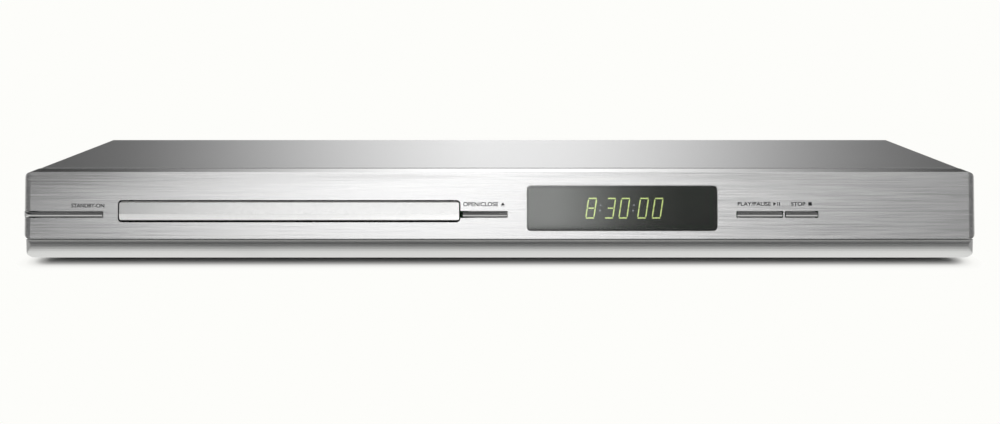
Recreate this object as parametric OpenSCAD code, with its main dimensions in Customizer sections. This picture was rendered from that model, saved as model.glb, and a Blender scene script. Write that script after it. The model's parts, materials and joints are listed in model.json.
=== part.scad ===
// Slim disc player with a motorised tray.
// Frame: the origin is on the table under the middle of the player, +X to its right, +Y to its back, +Z up.

/* [Housing] */
// Width over the front panel
case_w = 435; // [428:1:450]
// Depth from the foremost edge of the front panel to the rear panel
body_d = 226.5; // [222:0.5:250]
// Height of the housing above its feet
body_h = 39; // [38.5:0.5:46]
// Height of the feet under the housing
foot_h = 4; // [3:0.5:7]
// Radius of a foot where it meets the chassis
foot_r = 12; // [9:0.5:15]
// Thickness of the sheet steel
sheet_t = 0.8; // [0.6:0.1:1]
// How far the top cover stays inside the front panel at each side
cover_inset = 2.5; // [2:0.25:4]
// How far the rear jacks stand out of the rear panel
jack_out = 8.5; // [7:0.5:10]

/* [Front panel] */
// Angle at which the front face leans back
lean = 9; // [5:0.5:11]
// Height of the curved lower trim
trim_h = 9; // [8:0.5:10]
// Depth of the curve of the lower trim
trim_d = 8.2; // [7:0.2:9]
// Depth of the moulded front, back to the seam with the top cover
lip_d = 26.5; // [24:0.5:30]
// Thickness of the brushed metal plate
plate_t = 1; // [0.8:0.1:1.2]
// Wall thickness of the plastic mouldings
wall_t = 2; // [1.6:0.1:2.2]
// Radius of the upper corners of the front
corner_top_r = 3.2; // [2:0.2:4]
// Radius of the lower corners of the front
corner_low_r = 2.6; // [2:0.2:3]
// Gap seen round the tray door
door_gap = 0.6; // [0.5:0.1:0.8]
// Gap seen round each button
key_gap = 0.4; // [0.3:0.1:0.5]
// Width of the display window
window_w = 87.2; // [80:0.2:90]
// Height of the display window, along the leaning face
window_h = 20.6; // [18:0.2:22]
// Space at each side of the display window, to the keys
window_space = 9; // [8:0.5:12]

/* [Keys] */
// Height of a key's face
key_h = 2.4; // [2:0.1:3]
// How far a key travels when pressed
key_travel = 0.5; // [0.3:0.1:0.6]
// Length of the standby key, from the left end
standby_w = 36; // [30:0.5:38]
// Length of the open and close key
open_w = 20.2; // [16:0.2:21]
// Length of the play key
play_w = 20.6; // [16:0.2:21]
// Length of the stop key
stop_w = 14.5; // [12:0.5:15]

/* [Tray] */
// Space between the standby key and the tray door
door_space = 7.6; // [6:0.2:10]
// Width of the tray door
door_w = 155.4; // [150:0.2:156]
// Height of the tray door
door_h = 8.9; // [8.5:0.1:9.5]
// Height of the tray's underside above the table side of the housing
tray_rise = 18; // [18:0.25:19]
// Width of the tray
tray_w = 129; // [127:0.5:130]
// Thickness of the tray
tray_h = 6; // [6:0.25:6.5]
// Radius of the disc that the tray takes
disc_r = 60; // [59:0.25:60]
// How far the tray comes out
tray_travel = 132; // [120:1:134]
// Depth of the recess for the disc
recess_h = 2.4; // [2:0.1:2.6]

/* [Loader] */
// Radius of the gear that drives the tray, at its teeth's pitch line
tray_gear_teeth = 20; // [18:1:20]
// Teeth of the wheel under it
wheel_teeth = 36; // [34:1:36]
// Teeth of the pinion on the pulley
pinion_teeth = 10; // [10:1:11]
// Diameter of the loading motor
motor_d = 24.4; // [22:0.2:24.4]
// Height of the loading motor
motor_h = 12.3; // [11:0.1:12.3]
// Angle by which the pickup deck swings down
deck_swing = 3; // [2:0.25:3]
// Travel of the cam slider that lifts the deck
cam_travel = 14; // [12:0.5:15]
// Travel of the pickup from the inner to the outer track
pickup_travel = 35; // [33:0.5:36]
// Diameter of the guide rods
rod_d = 3; // [2.6:0.1:3.2]

/* [Rear sockets] */
// Outer radius of a jack's metal shell
jack_r = 4.15; // [4:0.05:4.3]
// Distance between jacks side by side
jack_pitch = 14; // [13:0.5:16]
// Distance between the two rows of jacks
jack_rise = 12.6; // [12:0.2:13]
// Pin distance of the mains inlet
inlet_pitch = 8.6; // [8.2:0.1:9]

/* [Hidden] */
$fn = 48;

// Fits and clearances
fit = 0.2;              // between pieces that stay put
rest_gap = 0.3;         // between a piece that moves and its seat
shaft_fit = 0.06;       // round a shaft that turns
eps = 0.01;

// Colours
brushed = "#c9cbcb";
silver = "#b4b6b7";
steel = "#a9adb0";
board_green = "#2f6b3f";
black = "#222426";
ivory = "#e6e2d6";

// Housing
z_floor = foot_h + sheet_t;
z_top = foot_h + body_h;
y_front = -(body_d + jack_out) / 2;
y_rear = y_front + body_d;
y_tip = y_rear + jack_out;
cover_w = case_w - 2 * cover_inset;
pan_w = cover_w - 2 * sheet_t - 2 * fit;
pan_y0 = y_front + trim_d + wall_t - 0.8;
pan_wall_h = 25;
cover_skirt_z = foot_h + 1.5;
hem_h = 7.6;
screw_r = 1.4;
screw_head_r = 2.9;
screw_head_h = 1.8;
side_screw_y = [y_front + 52, y_rear - 22];
side_screw_z = foot_h + 13;
hem_screw_x = [65 - cover_w / 2, 0, cover_w / 2 - 65];
hem_screw_z = z_top - 4.2;
foot_x = case_w / 2 - 38;
foot_y = [y_front + 44, y_rear - 26];

// Front panel
seam = 0.6;
trim_drop = 1;
trim_top = foot_h + trim_h - trim_drop;
plate_z0 = trim_top + seam;
fascia_top = z_top - fit;
y_lip = y_front + lip_d;
cover_y0 = y_lip + 2 * fit;
face_len = (fascia_top - plate_z0) / cos(lean);
plate_return = 4.2;
opening_d = 9;
end_r = 3;
shelf_y = pan_y0 + sheet_t;
window_rise = 3.6 / cos(lean);
window_t = 2.2;
key_z = foot_h + 19.6;
open_offset = 1.1;
play_stop_gap = 1.6;
standby_x = -case_w / 2 + standby_w / 2;
tray_x = -case_w / 2 + standby_w + door_space + door_w / 2;
open_x = tray_x + door_w / 2 + door_gap + open_offset + open_w / 2;
window_x = open_x + open_w / 2 + window_space + window_w / 2;
play_x = window_x + window_w / 2 + window_space + play_w / 2;
stop_x = play_x + play_w / 2 + play_stop_gap + stop_w / 2;
key_nose = 0.8;
key_flange_t = 1.2;
key_flange_lap = 1;
stem_r = 1.3;
board_t = 1.6;
board_post_z = plate_z0 + 3;
board_y = y_front + 15.5;
switch_size = 6;
switch_t = 3.4;
plunger_r = 1.65;
plunger_t = 2.6;

// Tray and loader heights
tray_z = foot_h + tray_rise;
tray_top = tray_z + tray_h;
disc_z = tray_top - recess_h;
mini_z = disc_z - 1.6;
door_z0 = tray_z - 1.4;
tray_y0 = y_front + 6.9;
rim_t = 3.4;
recess_r = disc_r + 0.7;
mini_r = recess_r * 2 / 3;
disc_y = tray_y0 + rim_t + recess_r;
slot_w = 50;
frame_wall = 2.5;
frame_w = tray_w + 2 * (frame_wall + 8);
frame_y0 = y_front + 11.5;
frame_z0 = foot_h + 3;
bridge_z = tray_top + 3;
bridge_t = 1;
deck_z = foot_h + 4.5;
deck_t = 2;
deck_y1 = frame_y0 + 30;

// Gears: module, radii and heights
gear_m = 1;
tray_gear_r = gear_m * tray_gear_teeth / 2;
wheel_r = gear_m * wheel_teeth / 2;
pinion_r = gear_m * pinion_teeth / 2;
gear_y = frame_y0 + 20;
rack_x = 48;
tray_gear_x = rack_x - tray_gear_r;
pulley_x = tray_gear_x - wheel_r - pinion_r;
wheel_z = tray_z - 8.5;
wheel_t = 2.8;
gear_top = tray_z - rest_gap;
pulley_top = tray_z - 0.8;
hub_z = deck_z + deck_t + 0.4 + rest_gap;
rack_h = 1.7;
pulley_z = tray_z - 3;
pulley_r = 10.4;
belt_t = 1.2;
belt_z = (pulley_z + pulley_top) / 2;
motor_x = -24;
motor_y = gear_y - 2;
motor_pulley_r = 3;
motor_top = tray_z - 4.4;
cup_t = 1.3;
post_r = 1.5;
rack_y0 = gear_y - 5;
rack_y1 = gear_y + tray_travel + 4;
arm_y1 = rack_y1 + 1;

// Pickup deck
pivot_y = arm_y1 + 6;
pivot_z = foot_h + 11;
pivot_r = 2.5;
frame_y1 = pivot_y + 16;
trav_z = foot_h + 9.5;
trav_t = 3;
trav_top = trav_z + trav_t;
trav_w = 100;
trav_y0 = disc_y - 19.5;
trav_y1 = pivot_y + pivot_r;
cam_plate_t = 2;
cam_y = trav_y0 - 6.4;
cam_pin_r = 1.5;
cam_pin_x = [-32, 0];
cam_pin_z = foot_h + 13.5;
cam_drop = (pivot_y - cam_y) * sin(deck_swing);
cam_slot_r = cam_pin_r + rest_gap;
cam_z0 = cam_pin_z - cam_drop - cam_slot_r - 1.1;
cam_z1 = cam_pin_z + cam_slot_r + 1.6;
cam_x0 = cam_pin_x[0] - 8;
cam_x1 = cam_pin_x[1] + cam_travel + 6;
lens_y = disc_y + 24;
pickup_y0 = lens_y - 8;
pickup_y1 = lens_y + 20;
pickup_z0 = trav_z + 0.5;
pickup_top = tray_z + 0.5;
pickup_w = 48;
rod_x = 26;
rod_r = rod_d / 2;
rod_z = foot_h + 14.5;
rod_y0 = pickup_y0 - 2.5;
rod_y1 = pickup_y1 + pickup_travel + 5;
window_x1 = 31;
feed_m = 0.6;
feed_teeth = 12;
feed_r = feed_m * feed_teeth / 2;
feed_wheel_teeth = 26;
feed_wheel_r = feed_m * feed_wheel_teeth / 2;
sled_teeth = 10;
sled_r = feed_m * sled_teeth / 2;
feed_rack_x = 34.5;
feed_x = feed_rack_x + feed_r;
feed_y = lens_y + 30;
feed_rack_z0 = trav_top + 2.3;
feed_rack_z1 = tray_z - 0.8;
sled_dir = -80;
sled_x = feed_x + (feed_wheel_r + sled_r) * cos(sled_dir);
sled_y = feed_y + (feed_wheel_r + sled_r) * sin(sled_dir);
seat_z = disc_z + 1;
hub_r = 7.3;
table_r = 15;
rotor_r = 12;
puck_z = tray_top + 0.4;
puck_r = 14.6;

// Rear sockets and boards
rear_board_z = z_floor + 5;
rear_board_top = rear_board_z + board_t;
jack_z = [rear_board_top + 5.6, rear_board_top + 5.6 + jack_rise];
board_side = 4;
main_board_w = 114;
power_board_w = 60;
main_board_x0 = tray_x + frame_w / 2 + 11.2;
main_board_x = [main_board_x0, main_board_x0 + main_board_w];
main_board_y = [y_rear - 112, y_rear - 5];
power_board_x1 = pan_w / 2 - sheet_t - board_side;
power_board_x = [power_board_x1 - power_board_w, power_board_x1];
power_board_y = [y_rear - 140, y_rear - 5];
front_board_x = [max(open_x - open_w / 2 - 2, tray_x + frame_w / 2 + 2.4), stop_x + stop_w / 2 + 10];
bead_x = [tray_x - frame_w / 2 - 14.8, tray_x - 27.8, main_board_x[0] + 64, main_board_x[1] + 22];
jack_x = [for (i = [0:2]) main_board_x[0] + 63 + i * jack_pitch];
coax_x = jack_x[2] + jack_pitch + 2;
jack_sites = concat([for (z = jack_z, x = jack_x) [x, z]], [[coax_x, jack_z[1]]]);
jack_core_r = 1.6;
jack_shell_t = 0.5;
jack_root_r = jack_r - 0.2;
jack_collar_r = jack_r + 1;
jack_collar_t = 1.5;
scart_x = main_board_x[0] + 26;
scart_z = rear_board_top + 9;
scart_w = 46;
scart_h = 13;
inlet_x = power_board_x[0] + power_board_w / 2;
inlet_z = rear_board_top + 8;
inlet_w = 22;
inlet_h = 15;
inlet_depth = 12;
post_in = 5;

// ---------------------------------------------------------------- shapes

// Points of an arc round [cx, cy]
function arc(cx, cy, r, from, to, steps = 6) =
    [for (i = [0:steps]) let (a = from + (to - from) * i / steps) [cx + r * cos(a), cy + r * sin(a)]];

// Outline of a slot with round ends between two points
function slot_points(p, q, r, steps = 4) =
    let (a = atan2(q[1] - p[1], q[0] - p[0]))
    concat(arc(q[0], q[1], r, a - 90, a + 90, steps), arc(p[0], p[1], r, a + 90, a + 270, steps));

// A rectangle from corner to corner with its own radius at the lower and the upper corners
module corner_rect(x0, x1, y0, y1, low_r, top_r) {
    polygon(concat(arc(x1 - low_r, y0 + low_r, low_r, -90, 0),
                   arc(x1 - top_r, y1 - top_r, top_r, 0, 90),
                   arc(x0 + top_r, y1 - top_r, top_r, 90, 180),
                   arc(x0 + low_r, y0 + low_r, low_r, 180, 270)));
}

// A block between two opposite corners
module block(p, q) {
    translate(p) cube(q - p);
}

// Extrudes an outline drawn in Y and Z along X, from x0 to x1
module along_x(x0, x1) {
    translate([x0, 0, 0]) rotate([90, 0, 90]) linear_extrude(x1 - x0) children();
}

// Extrudes an outline drawn in X and Z along Y, from y0 to y1
module along_y(y0, y1) {
    translate([0, y1, 0]) rotate([90, 0, 0]) linear_extrude(y1 - y0) children();
}

// A cylinder that points to +Y
module rod_y(x, z, y0, y1, r) {
    translate([x, y0, z]) rotate([-90, 0, 0]) cylinder(r = r, h = y1 - y0);
}

// A cylinder that points to +X
module rod_x_axis(y, z, x0, x1, r) {
    translate([x0, y, z]) rotate([0, 90, 0]) cylinder(r = r, h = x1 - x0);
}

module tube(r_out, r_in, z0, z1) {
    translate([0, 0, z0]) difference() {
        cylinder(r = r_out, h = z1 - z0);
        translate([0, 0, -1]) cylinder(r = r_in, h = z1 - z0 + 2);
    }
}

// Tangent of the involute less its angle, in degrees
function involute(a) = tan(a) * 180 / PI - a;

// Half of a tooth's angle at radius r
function half_tooth(teeth, pitch_r, base_r, r, play) =
    90 / teeth - play / 2 / pitch_r * 180 / PI
    + involute(acos(base_r / pitch_r)) - involute(acos(min(1, base_r / r)));

// Outline of a spur gear with stub teeth. A tooth points along +X.
function gear_points(m, teeth, pressure = 25, play = 0.16) =
    let (pitch_r = m * teeth / 2,
         base_r = pitch_r * cos(pressure),
         root_r = pitch_r - 1.1 * m,
         tip_r = pitch_r + 0.8 * m,
         start_r = max(base_r, root_r),
         flank = [start_r, (start_r + tip_r) / 2, tip_r])
    [for (i = [0:teeth - 1]) let (at = i * 360 / teeth)
        for (p = concat(
            [[root_r, -half_tooth(teeth, pitch_r, base_r, start_r, play) - 0.5]],
            [for (r = flank) [r, -half_tooth(teeth, pitch_r, base_r, r, play)]],
            [for (j = [2:-1:0]) [flank[j], half_tooth(teeth, pitch_r, base_r, flank[j], play)]],
            [[root_r, half_tooth(teeth, pitch_r, base_r, start_r, play) + 0.5]]))
        [p[0] * cos(at + p[1]), p[0] * sin(at + p[1])]];

// Outline of a rack whose pitch line is x = 0 and whose teeth point to -X. A gap is centred on y = mid.
function rack_points(m, y0, y1, mid, depth, pressure = 25, play = 0.16) =
    let (pitch = PI * m,
         first = ceil((y0 - mid) / pitch),
         last = floor((y1 - mid) / pitch) - 1,
         half = pitch / 4 - play / 2,
         root = 1.1 * m,
         tip = 0.8 * m)
    concat([[depth, y0], [root, y0]],
           [for (i = [first:last]) let (c = mid + (i + 0.5) * pitch)
               for (p = [[root, c - half - root * tan(pressure)],
                         [-tip, c - half + tip * tan(pressure)],
                         [-tip, c + half - tip * tan(pressure)],
                         [root, c + half + root * tan(pressure)]]) p],
           [[root, y1], [depth, y1]]);

// ---------------------------------------------------------------- housing

// Front face at height z
function face_y(z) = y_front + (z - plate_z0) * tan(lean);

// Places what is drawn on the leaning face: X along it, Z up it, Y into the housing
module on_face() {
    translate([0, y_front, plate_z0]) rotate([-lean, 0, 0]) children();
}

module foot_hole_sites() {
    for (x = [-foot_x, foot_x], y = foot_y) translate([x, y, 0]) children();
}

module screw(r = screw_r, len = 6, head_r = screw_head_r, head_h = screw_head_h) {
    translate([0, 0, -len]) cylinder(r = r, h = len);
    difference() {
        cylinder(r1 = head_r, r2 = head_r * 0.82, h = head_h);
        for (a = [0, 90]) rotate(a)
            block([-head_r * 0.55, -0.35, head_h * 0.45], [head_r * 0.55, 0.35, head_h + 1]);
    }
}

function board_posts(bx, by) =
    [for (x = [bx[0] + post_in, bx[1] - post_in], y = [by[0] + post_in, by[1] - 22]) [x, y]];

lug_y = [frame_y0 + 12, frame_y1 - 10];
loader_lugs = [for (x = [-1, 1], y = lug_y) [tray_x + x * (frame_w / 2 + 4), y]];

// Sheet steel tray that carries everything
module chassis_pan() {
    color(steel) difference() {
        union() {
            block([-pan_w / 2, pan_y0, foot_h], [pan_w / 2, y_rear - sheet_t, z_floor]);
            for (s = [-1, 1]) {
                x = s * pan_w / 2;
                along_y(cover_y0, y_rear - sheet_t - fit)
                    polygon([[x, foot_h], [x, foot_h + pan_wall_h], [x - s * sheet_t, foot_h + pan_wall_h],
                             [x - s * sheet_t, foot_h]]);
            }
            block([-pan_w / 2 + 2, pan_y0, foot_h], [pan_w / 2 - 2, pan_y0 + sheet_t, plate_z0 - fit]);
            // pressed beads that stiffen the floor
            for (x = bead_x) translate([x, 0, z_floor])
                along_x(-3, 3) polygon([[y_front + 62, 0], [y_front + 64, 0.9], [y_rear - 42, 0.9],
                                        [y_rear - 40, 0]]);
            for (p = concat(board_posts(main_board_x, main_board_y),
                            board_posts(power_board_x, power_board_y)))
                translate([p[0], p[1], z_floor]) cylinder(r = 3, h = rear_board_z - z_floor);
            for (p = loader_lugs) translate([p[0], p[1], z_floor])
                cylinder(r = 3.4, h = frame_z0 - z_floor);
        }
        for (x = bead_x) translate([x, 0, foot_h])
            along_x(-2.2, 2.2) polygon([[y_front + 62, -1], [y_front + 62, 0], [y_front + 64, 0.9],
                                        [y_rear - 42, 0.9], [y_rear - 40, 0], [y_rear - 40, -1]]);
        for (p = concat(board_posts(main_board_x, main_board_y), board_posts(power_board_x, power_board_y),
                        loader_lugs))
            translate([p[0], p[1], foot_h - 1]) cylinder(r = screw_r + 0.05, h = 12);
        foot_hole_sites() translate([0, 0, foot_h - 1]) cylinder(r = 3.2, h = 4);
        for (s = [-1, 1], y = side_screw_y)
            rod_x_axis(y, side_screw_z, s * pan_w / 2 - 3, s * pan_w / 2 + 3, screw_r + 0.05);
        // cooling slots under the power board
        for (i = [0:4]) translate([power_board_x[0] + 12 + i * 9, 0, foot_h - 1])
            linear_extrude(4) polygon(slot_points([0, y_rear - 100], [0, y_rear - 70], 1.5));
    }
}

// Cut-outs of the rear panel, drawn in X and Z
module rear_cutouts() {
    for (p = jack_sites) translate(p) circle(r = jack_collar_r + 0.3);
    translate([scart_x, scart_z]) square([scart_w + 0.6, scart_h + 0.6], center = true);
    translate([inlet_x, inlet_z]) square([inlet_w + 0.4, inlet_h + 0.4], center = true);
    for (i = [0:13]) let (x = 25 - cover_w / 2 + i * 9)
        polygon(slot_points([x, foot_h + 12], [x, foot_h + 26], 1.4));
    for (x = hem_screw_x) translate([x, hem_screw_z]) circle(r = screw_r + 0.05);
}

module rear_panel() {
    color(steel) {
        along_y(y_rear - sheet_t, y_rear) difference() {
            translate([-pan_w / 2, foot_h]) square([pan_w, body_h - sheet_t - fit]);
            rear_cutouts();
        }
        // foot of the panel, folded in over the chassis floor
        block([-pan_w / 2 + sheet_t + fit, y_rear - 5, z_floor],
              [pan_w / 2 - sheet_t - fit, y_rear - sheet_t, z_floor + sheet_t]);
    }
}

// One outline of the folded cover, drawn in X and Z
module cover_outline() {
    bend = 1.4;
    difference() {
        corner_rect(-cover_w / 2, cover_w / 2, cover_skirt_z - 9, z_top, eps, bend);
        corner_rect(-cover_w / 2 + sheet_t, cover_w / 2 - sheet_t, cover_skirt_z - 10, z_top - sheet_t,
                    eps, bend - sheet_t);
        translate([-cover_w, cover_skirt_z - 20]) square([2 * cover_w, 20]);
    }
}

module top_cover() {
    color("#8f9294") difference() {
        union() {
            along_y(cover_y0, y_rear + sheet_t) cover_outline();
            block([-cover_w / 2 + 3, y_rear, z_top - hem_h],
                  [cover_w / 2 - 3, y_rear + sheet_t, z_top - sheet_t + eps]);
        }
        for (s = [-1, 1]) {
            for (y = side_screw_y)
                rod_x_axis(y, side_screw_z, s * cover_w / 2 - 3, s * cover_w / 2 + 3, screw_r + 0.3);
            for (i = [0:15], k = [0, 1])
                translate([s * cover_w / 2 - 3, 0, 0])
                    along_x(0, 6) polygon(slot_points([y_rear - 118 + i * 5.5, foot_h + 16 + k * 11],
                                                      [y_rear - 118 + i * 5.5, foot_h + 22 + k * 11], 1.1));
        }
        for (x = hem_screw_x) rod_y(x, hem_screw_z, y_rear - 1, y_rear + 3, screw_r + 0.3);
        // the skirt stops short of the rear corner
        block([-cover_w, y_rear, foot_h - 1], [-cover_w / 2 + 3, y_rear + 5, z_top - hem_h]);
        block([cover_w / 2 - 3, y_rear, foot_h - 1], [cover_w, y_rear + 5, z_top - hem_h]);
    }
}

module feet() {
    color(black) foot_hole_sites() {
        difference() {
            rotate_extrude() polygon(concat([[0, 0], [foot_r - 2.6, 0]],
                                            arc(foot_r - 2.6, 1.2, 1.2, -90, 0, 4),
                                            [[foot_r, foot_h], [0, foot_h]]));
            translate([0, 0, -1]) cylinder(r = foot_r - 6, h = 2);
        }
        translate([0, 0, foot_h]) cylinder(r = 3, h = sheet_t + 0.6);
        translate([0, 0, z_floor]) cylinder(r1 = 3.9, r2 = 2.8, h = 1.4);
    }
}

module cover_screws() {
    color("#3a3c3e") {
        for (s = [-1, 1], y = side_screw_y)
            translate([s * cover_w / 2, y, side_screw_z]) rotate([0, s * 90, 0]) screw();
        for (x = hem_screw_x)
            translate([x, y_rear + sheet_t, hem_screw_z]) rotate([-90, 0, 0]) screw();
    }
}

// ---------------------------------------------------------------- front panel

// Whole form of the moulded front and its plate, above the lower trim
module fascia_form() {
    intersection() {
        along_x(-case_w / 2, case_w / 2)
            polygon([[y_front, plate_z0], [face_y(fascia_top), fascia_top], [y_lip, fascia_top],
                     [y_lip, plate_z0]]);
        along_y(y_front - 1, y_lip + 1)
            corner_rect(-case_w / 2, case_w / 2, plate_z0, fascia_top, corner_low_r, corner_top_r);
        on_face() translate([0, 0, -10])
            linear_extrude(face_len + 20) corner_rect(-case_w / 2, case_w / 2, 0, 60, end_r, eps);
    }
}

// What lies behind the metal plate: the form less the plate's thickness at the front and the ends
module plate_core() {
    on_face() translate([0, 0, -12])
        linear_extrude(face_len + 24)
            corner_rect(-case_w / 2 + plate_t, case_w / 2 - plate_t, plate_t, 60, end_r - plate_t, eps);
    on_face() block([-case_w, plate_return, -12], [case_w, 70, face_len + 24]);
}

// Opening for the tray door, drawn in X and Z
module door_opening(grow = 0) {
    w = door_w + 2 * (door_gap + grow);
    corner_rect(tray_x - w / 2, tray_x + w / 2, door_z0 - door_gap - grow,
                door_z0 + door_h + door_gap + grow, 1.8, 1.8);
}

// Slot for a key that runs from x0 to x1, drawn in X and Z
module key_opening(x0, x1) {
    corner_rect(x0 - key_gap, x1 + key_gap, key_z - key_h / 2 - key_gap, key_z + key_h / 2 + key_gap, 0.5,
                0.5);
}

module front_openings() {
    along_y(y_front - 3, y_front + opening_d) {
        door_opening();
        key_opening(-case_w, standby_x + standby_w / 2);
        key_opening(open_x - open_w / 2 - open_offset - 0.2, open_x + open_w / 2);
        key_opening(play_x - play_w / 2, play_x + play_w / 2);
        key_opening(stop_x - stop_w / 2, stop_x + stop_w / 2);
    }
}

// The window's outline on the leaning face, grown or shrunk all round
module window_outline(grow, r) {
    corner_rect(window_x - window_w / 2 - grow, window_x + window_w / 2 + grow,
                window_rise - grow, window_rise + window_h + grow, r, r);
}

module window_prism(grow, r, y0, y1) {
    on_face() along_y(y0, y1) window_outline(grow, r);
}

module front_plate() {
    color(brushed) difference() {
        fascia_form();
        plate_core();
        front_openings();
        window_prism(0.3, 2.3, -3, 8);
    }
}

module front_frame() {
    inner_x = case_w / 2 - plate_t - wall_t;
    color(silver) {
        difference() {
            intersection() {
                fascia_form();
                plate_core();
            }
            // hollow behind the front wall and under the top lip
            along_x(-inner_x, inner_x)
                polygon([[face_y(plate_z0 + wall_t) + plate_t + wall_t, plate_z0 + wall_t],
                         [face_y(fascia_top - wall_t) + plate_t + wall_t, fascia_top - wall_t],
                         [y_lip + 1, fascia_top - wall_t], [y_lip + 1, plate_z0 + wall_t]]);
            // the floor of the moulding stops at the chassis
            block([-inner_x, shelf_y, plate_z0 - 1], [inner_x, y_lip + 1, plate_z0 + wall_t + 1]);
            front_openings();
            window_prism(0.15, 2.3, -1, window_t);
            window_prism(-1.4, 1.2, -1, 12);
        }
        // bosses that carry the front board
        for (p = front_board_posts()) difference() {
            rod_y(p[0], p[1], face_y(p[1]) + plate_t + wall_t / 2, board_y, 2.6);
            rod_y(p[0], p[1], board_y - 6, board_y + 1, screw_r + 0.05);
        }
    }
}

module lower_trim() {
    trim_w = case_w - 1.2;
    z0 = foot_h - trim_drop;
    low_r = 4;
    // The outer curve leans back under the shadow gap and rolls down to the underside
    start = 155;
    outer = arc(0, 0, 1, start, 270, 12);
    r_z = trim_h / (1 + sin(start));
    y_c = y_front + 0.9 + trim_d;
    color(silver) difference() {
        intersection() {
            along_x(-trim_w / 2, trim_w / 2)
                polygon(concat([for (p = outer) [y_c + trim_d * p[0], z0 + r_z * (1 + p[1])]],
                               [[y_lip, z0], [y_lip, trim_top]]));
            along_y(y_front - 1, y_lip + 1)
                corner_rect(-trim_w / 2, trim_w / 2, z0, trim_top + 10, low_r, 1);
            translate([0, 0, -1]) linear_extrude(z_top)
                corner_rect(-trim_w / 2, trim_w / 2, y_front + 0.9, y_lip + 10, end_r, 1);
        }
        // hollow, open to the chassis behind
        along_x(-trim_w / 2 + wall_t, trim_w / 2 - wall_t)
            polygon(concat([for (p = outer) [y_c + (trim_d - wall_t) * p[0],
                                             z0 + sheet_t + (r_z - sheet_t) * (1 + p[1])]],
                           [[y_lip + 1, z_floor], [y_lip + 1, trim_top + 1],
                            [y_c + (trim_d - wall_t) * outer[0][0], trim_top + 1]]));
        block([-pan_w / 2 - fit, pan_y0 - fit / 2, z0 - 1], [pan_w / 2 + fit, y_lip + 1, trim_top + 1]);
    }
}

module display_window() {
    color([0.12, 0.13, 0.12, 0.8]) window_prism(0, 2.2, 0, window_t - 0.05);
}

function front_board_posts() =
    [[front_board_x[0] + 5, board_post_z], [front_board_x[1] - 5, board_post_z],
     [front_board_x[0] + 5, foot_h + 33], [front_board_x[1] - 5, foot_h + 33],
     [standby_x - 9, board_post_z], [standby_x + 11, foot_h + 30]];

// Display board, and the small board of the standby key
module front_board() {
    color(board_green) difference() {
        union() {
            block([front_board_x[0], board_y, foot_h + 6],
                  [front_board_x[1], board_y + board_t, foot_h + 36]);
            block([standby_x - 14, board_y, foot_h + 6], [standby_x + 16, board_y + board_t, foot_h + 34]);
        }
        for (p = front_board_posts()) rod_y(p[0], p[1], board_y - 1, board_y + board_t + 1, screw_r + 0.05);
    }
}

module display_tube() {
    tube_y1 = board_y - 1.2;
    tube_y0 = tube_y1 - 6;
    z0 = window_mid_z() - 9;
    z1 = window_mid_z() + 9;
    color("#3f4a44") difference() {
        block([window_x - 41, tube_y0, z0], [window_x + 41, tube_y1, z1]);
        // the glass sheet in front stands inside the edge of the back sheet
        for (s = [-1, 1]) block([window_x + s * 42.5 - 2.5, tube_y0 - 1, z0 - 1],
                                [window_x + s * 42.5 + 2.5, tube_y1 - 1.4, z1 + 1]);
        block([window_x - 45, tube_y0 - 1, z0 - 1], [window_x + 45, tube_y1 - 1.4, z0 + 1.6]);
    }
    // leads into the board
    color("#c8ccd0") for (i = [0:27])
        block([window_x - 36.45 + i * 2.7 - 0.25, tube_y1 - 1.2, z0 - 1.4],
              [window_x - 36.45 + i * 2.7 + 0.25, board_y, z0]);
}

function window_mid_z() = plate_z0 + (window_rise + window_h / 2) * cos(lean);

// ---------------------------------------------------------------- keys

stem_x = [standby_x + 4, open_x + 2, play_x, stop_x];

function switch_y0() = board_y - switch_t;
function wall_back(z) = face_y(z) + (plate_t + wall_t) / cos(lean);

// A key: wedge-shaped bar in its slot, a flange behind the wall and a stem to the switch
module key_bar(x0, x1) {
    z0 = key_z - key_h / 2;
    z1 = key_z + key_h / 2;
    back = wall_back(z1 + key_flange_lap) + rest_gap;
    along_x(x0, x1)
        polygon([[face_y(z0) + 0.3, z0], [face_y(key_z) - key_nose, key_z - 0.2],
                 [face_y(key_z) - key_nose + 0.15, key_z + 0.2], [face_y(z1) + 0.5, z1],
                 [back + eps, z1], [back + eps, z0]]);
}

module key_flange(x0, x1, stem) {
    back = wall_back(key_z + key_h / 2 + key_flange_lap) + rest_gap;
    block([x0, back, key_z - key_h / 2 - key_flange_lap],
          [x1, back + key_flange_t, key_z + key_h / 2 + key_flange_lap]);
    rod_y(stem, key_z, back + key_flange_t - eps, switch_y0() - plunger_t + 1.2, stem_r);
}

module standby_key() {
    x1 = standby_x + standby_w / 2;
    color(silver) {
        intersection() {
            union() {
                key_bar(-case_w / 2, x1);
                // the key wraps round the left end of the front
                block([-case_w / 2, face_y(key_z) + 0.5, key_z - key_h / 2],
                      [-case_w / 2 + 2.2, y_front + opening_d - 2 * key_travel, key_z + key_h / 2]);
            }
            translate([0, 0, -1]) linear_extrude(z_top)
                corner_rect(-case_w / 2, case_w / 2, face_y(key_z) - key_nose, y_front + 60, end_r, eps);
        }
        key_flange(-case_w / 2 + plate_t + wall_t + 3, x1 + 0.8, stem_x[0]);
    }
}

module open_key() {
    color(silver) {
        key_bar(open_x - open_w / 2, open_x + open_w / 2);
        key_flange(open_x - open_w / 2 + 2.4, open_x + open_w / 2 + 0.5, stem_x[1]);
    }
}

module play_key() {
    color(silver) {
        key_bar(play_x - play_w / 2, play_x + play_w / 2);
        key_flange(play_x - play_w / 2 + 0.6, play_x + play_w / 2 - 0.6, stem_x[2]);
    }
}

module stop_key() {
    color(silver) {
        key_bar(stop_x - stop_w / 2, stop_x + stop_w / 2);
        key_flange(stop_x - stop_w / 2 + 0.6, stop_x + stop_w / 2 - 0.6, stem_x[3]);
    }
}

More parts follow.
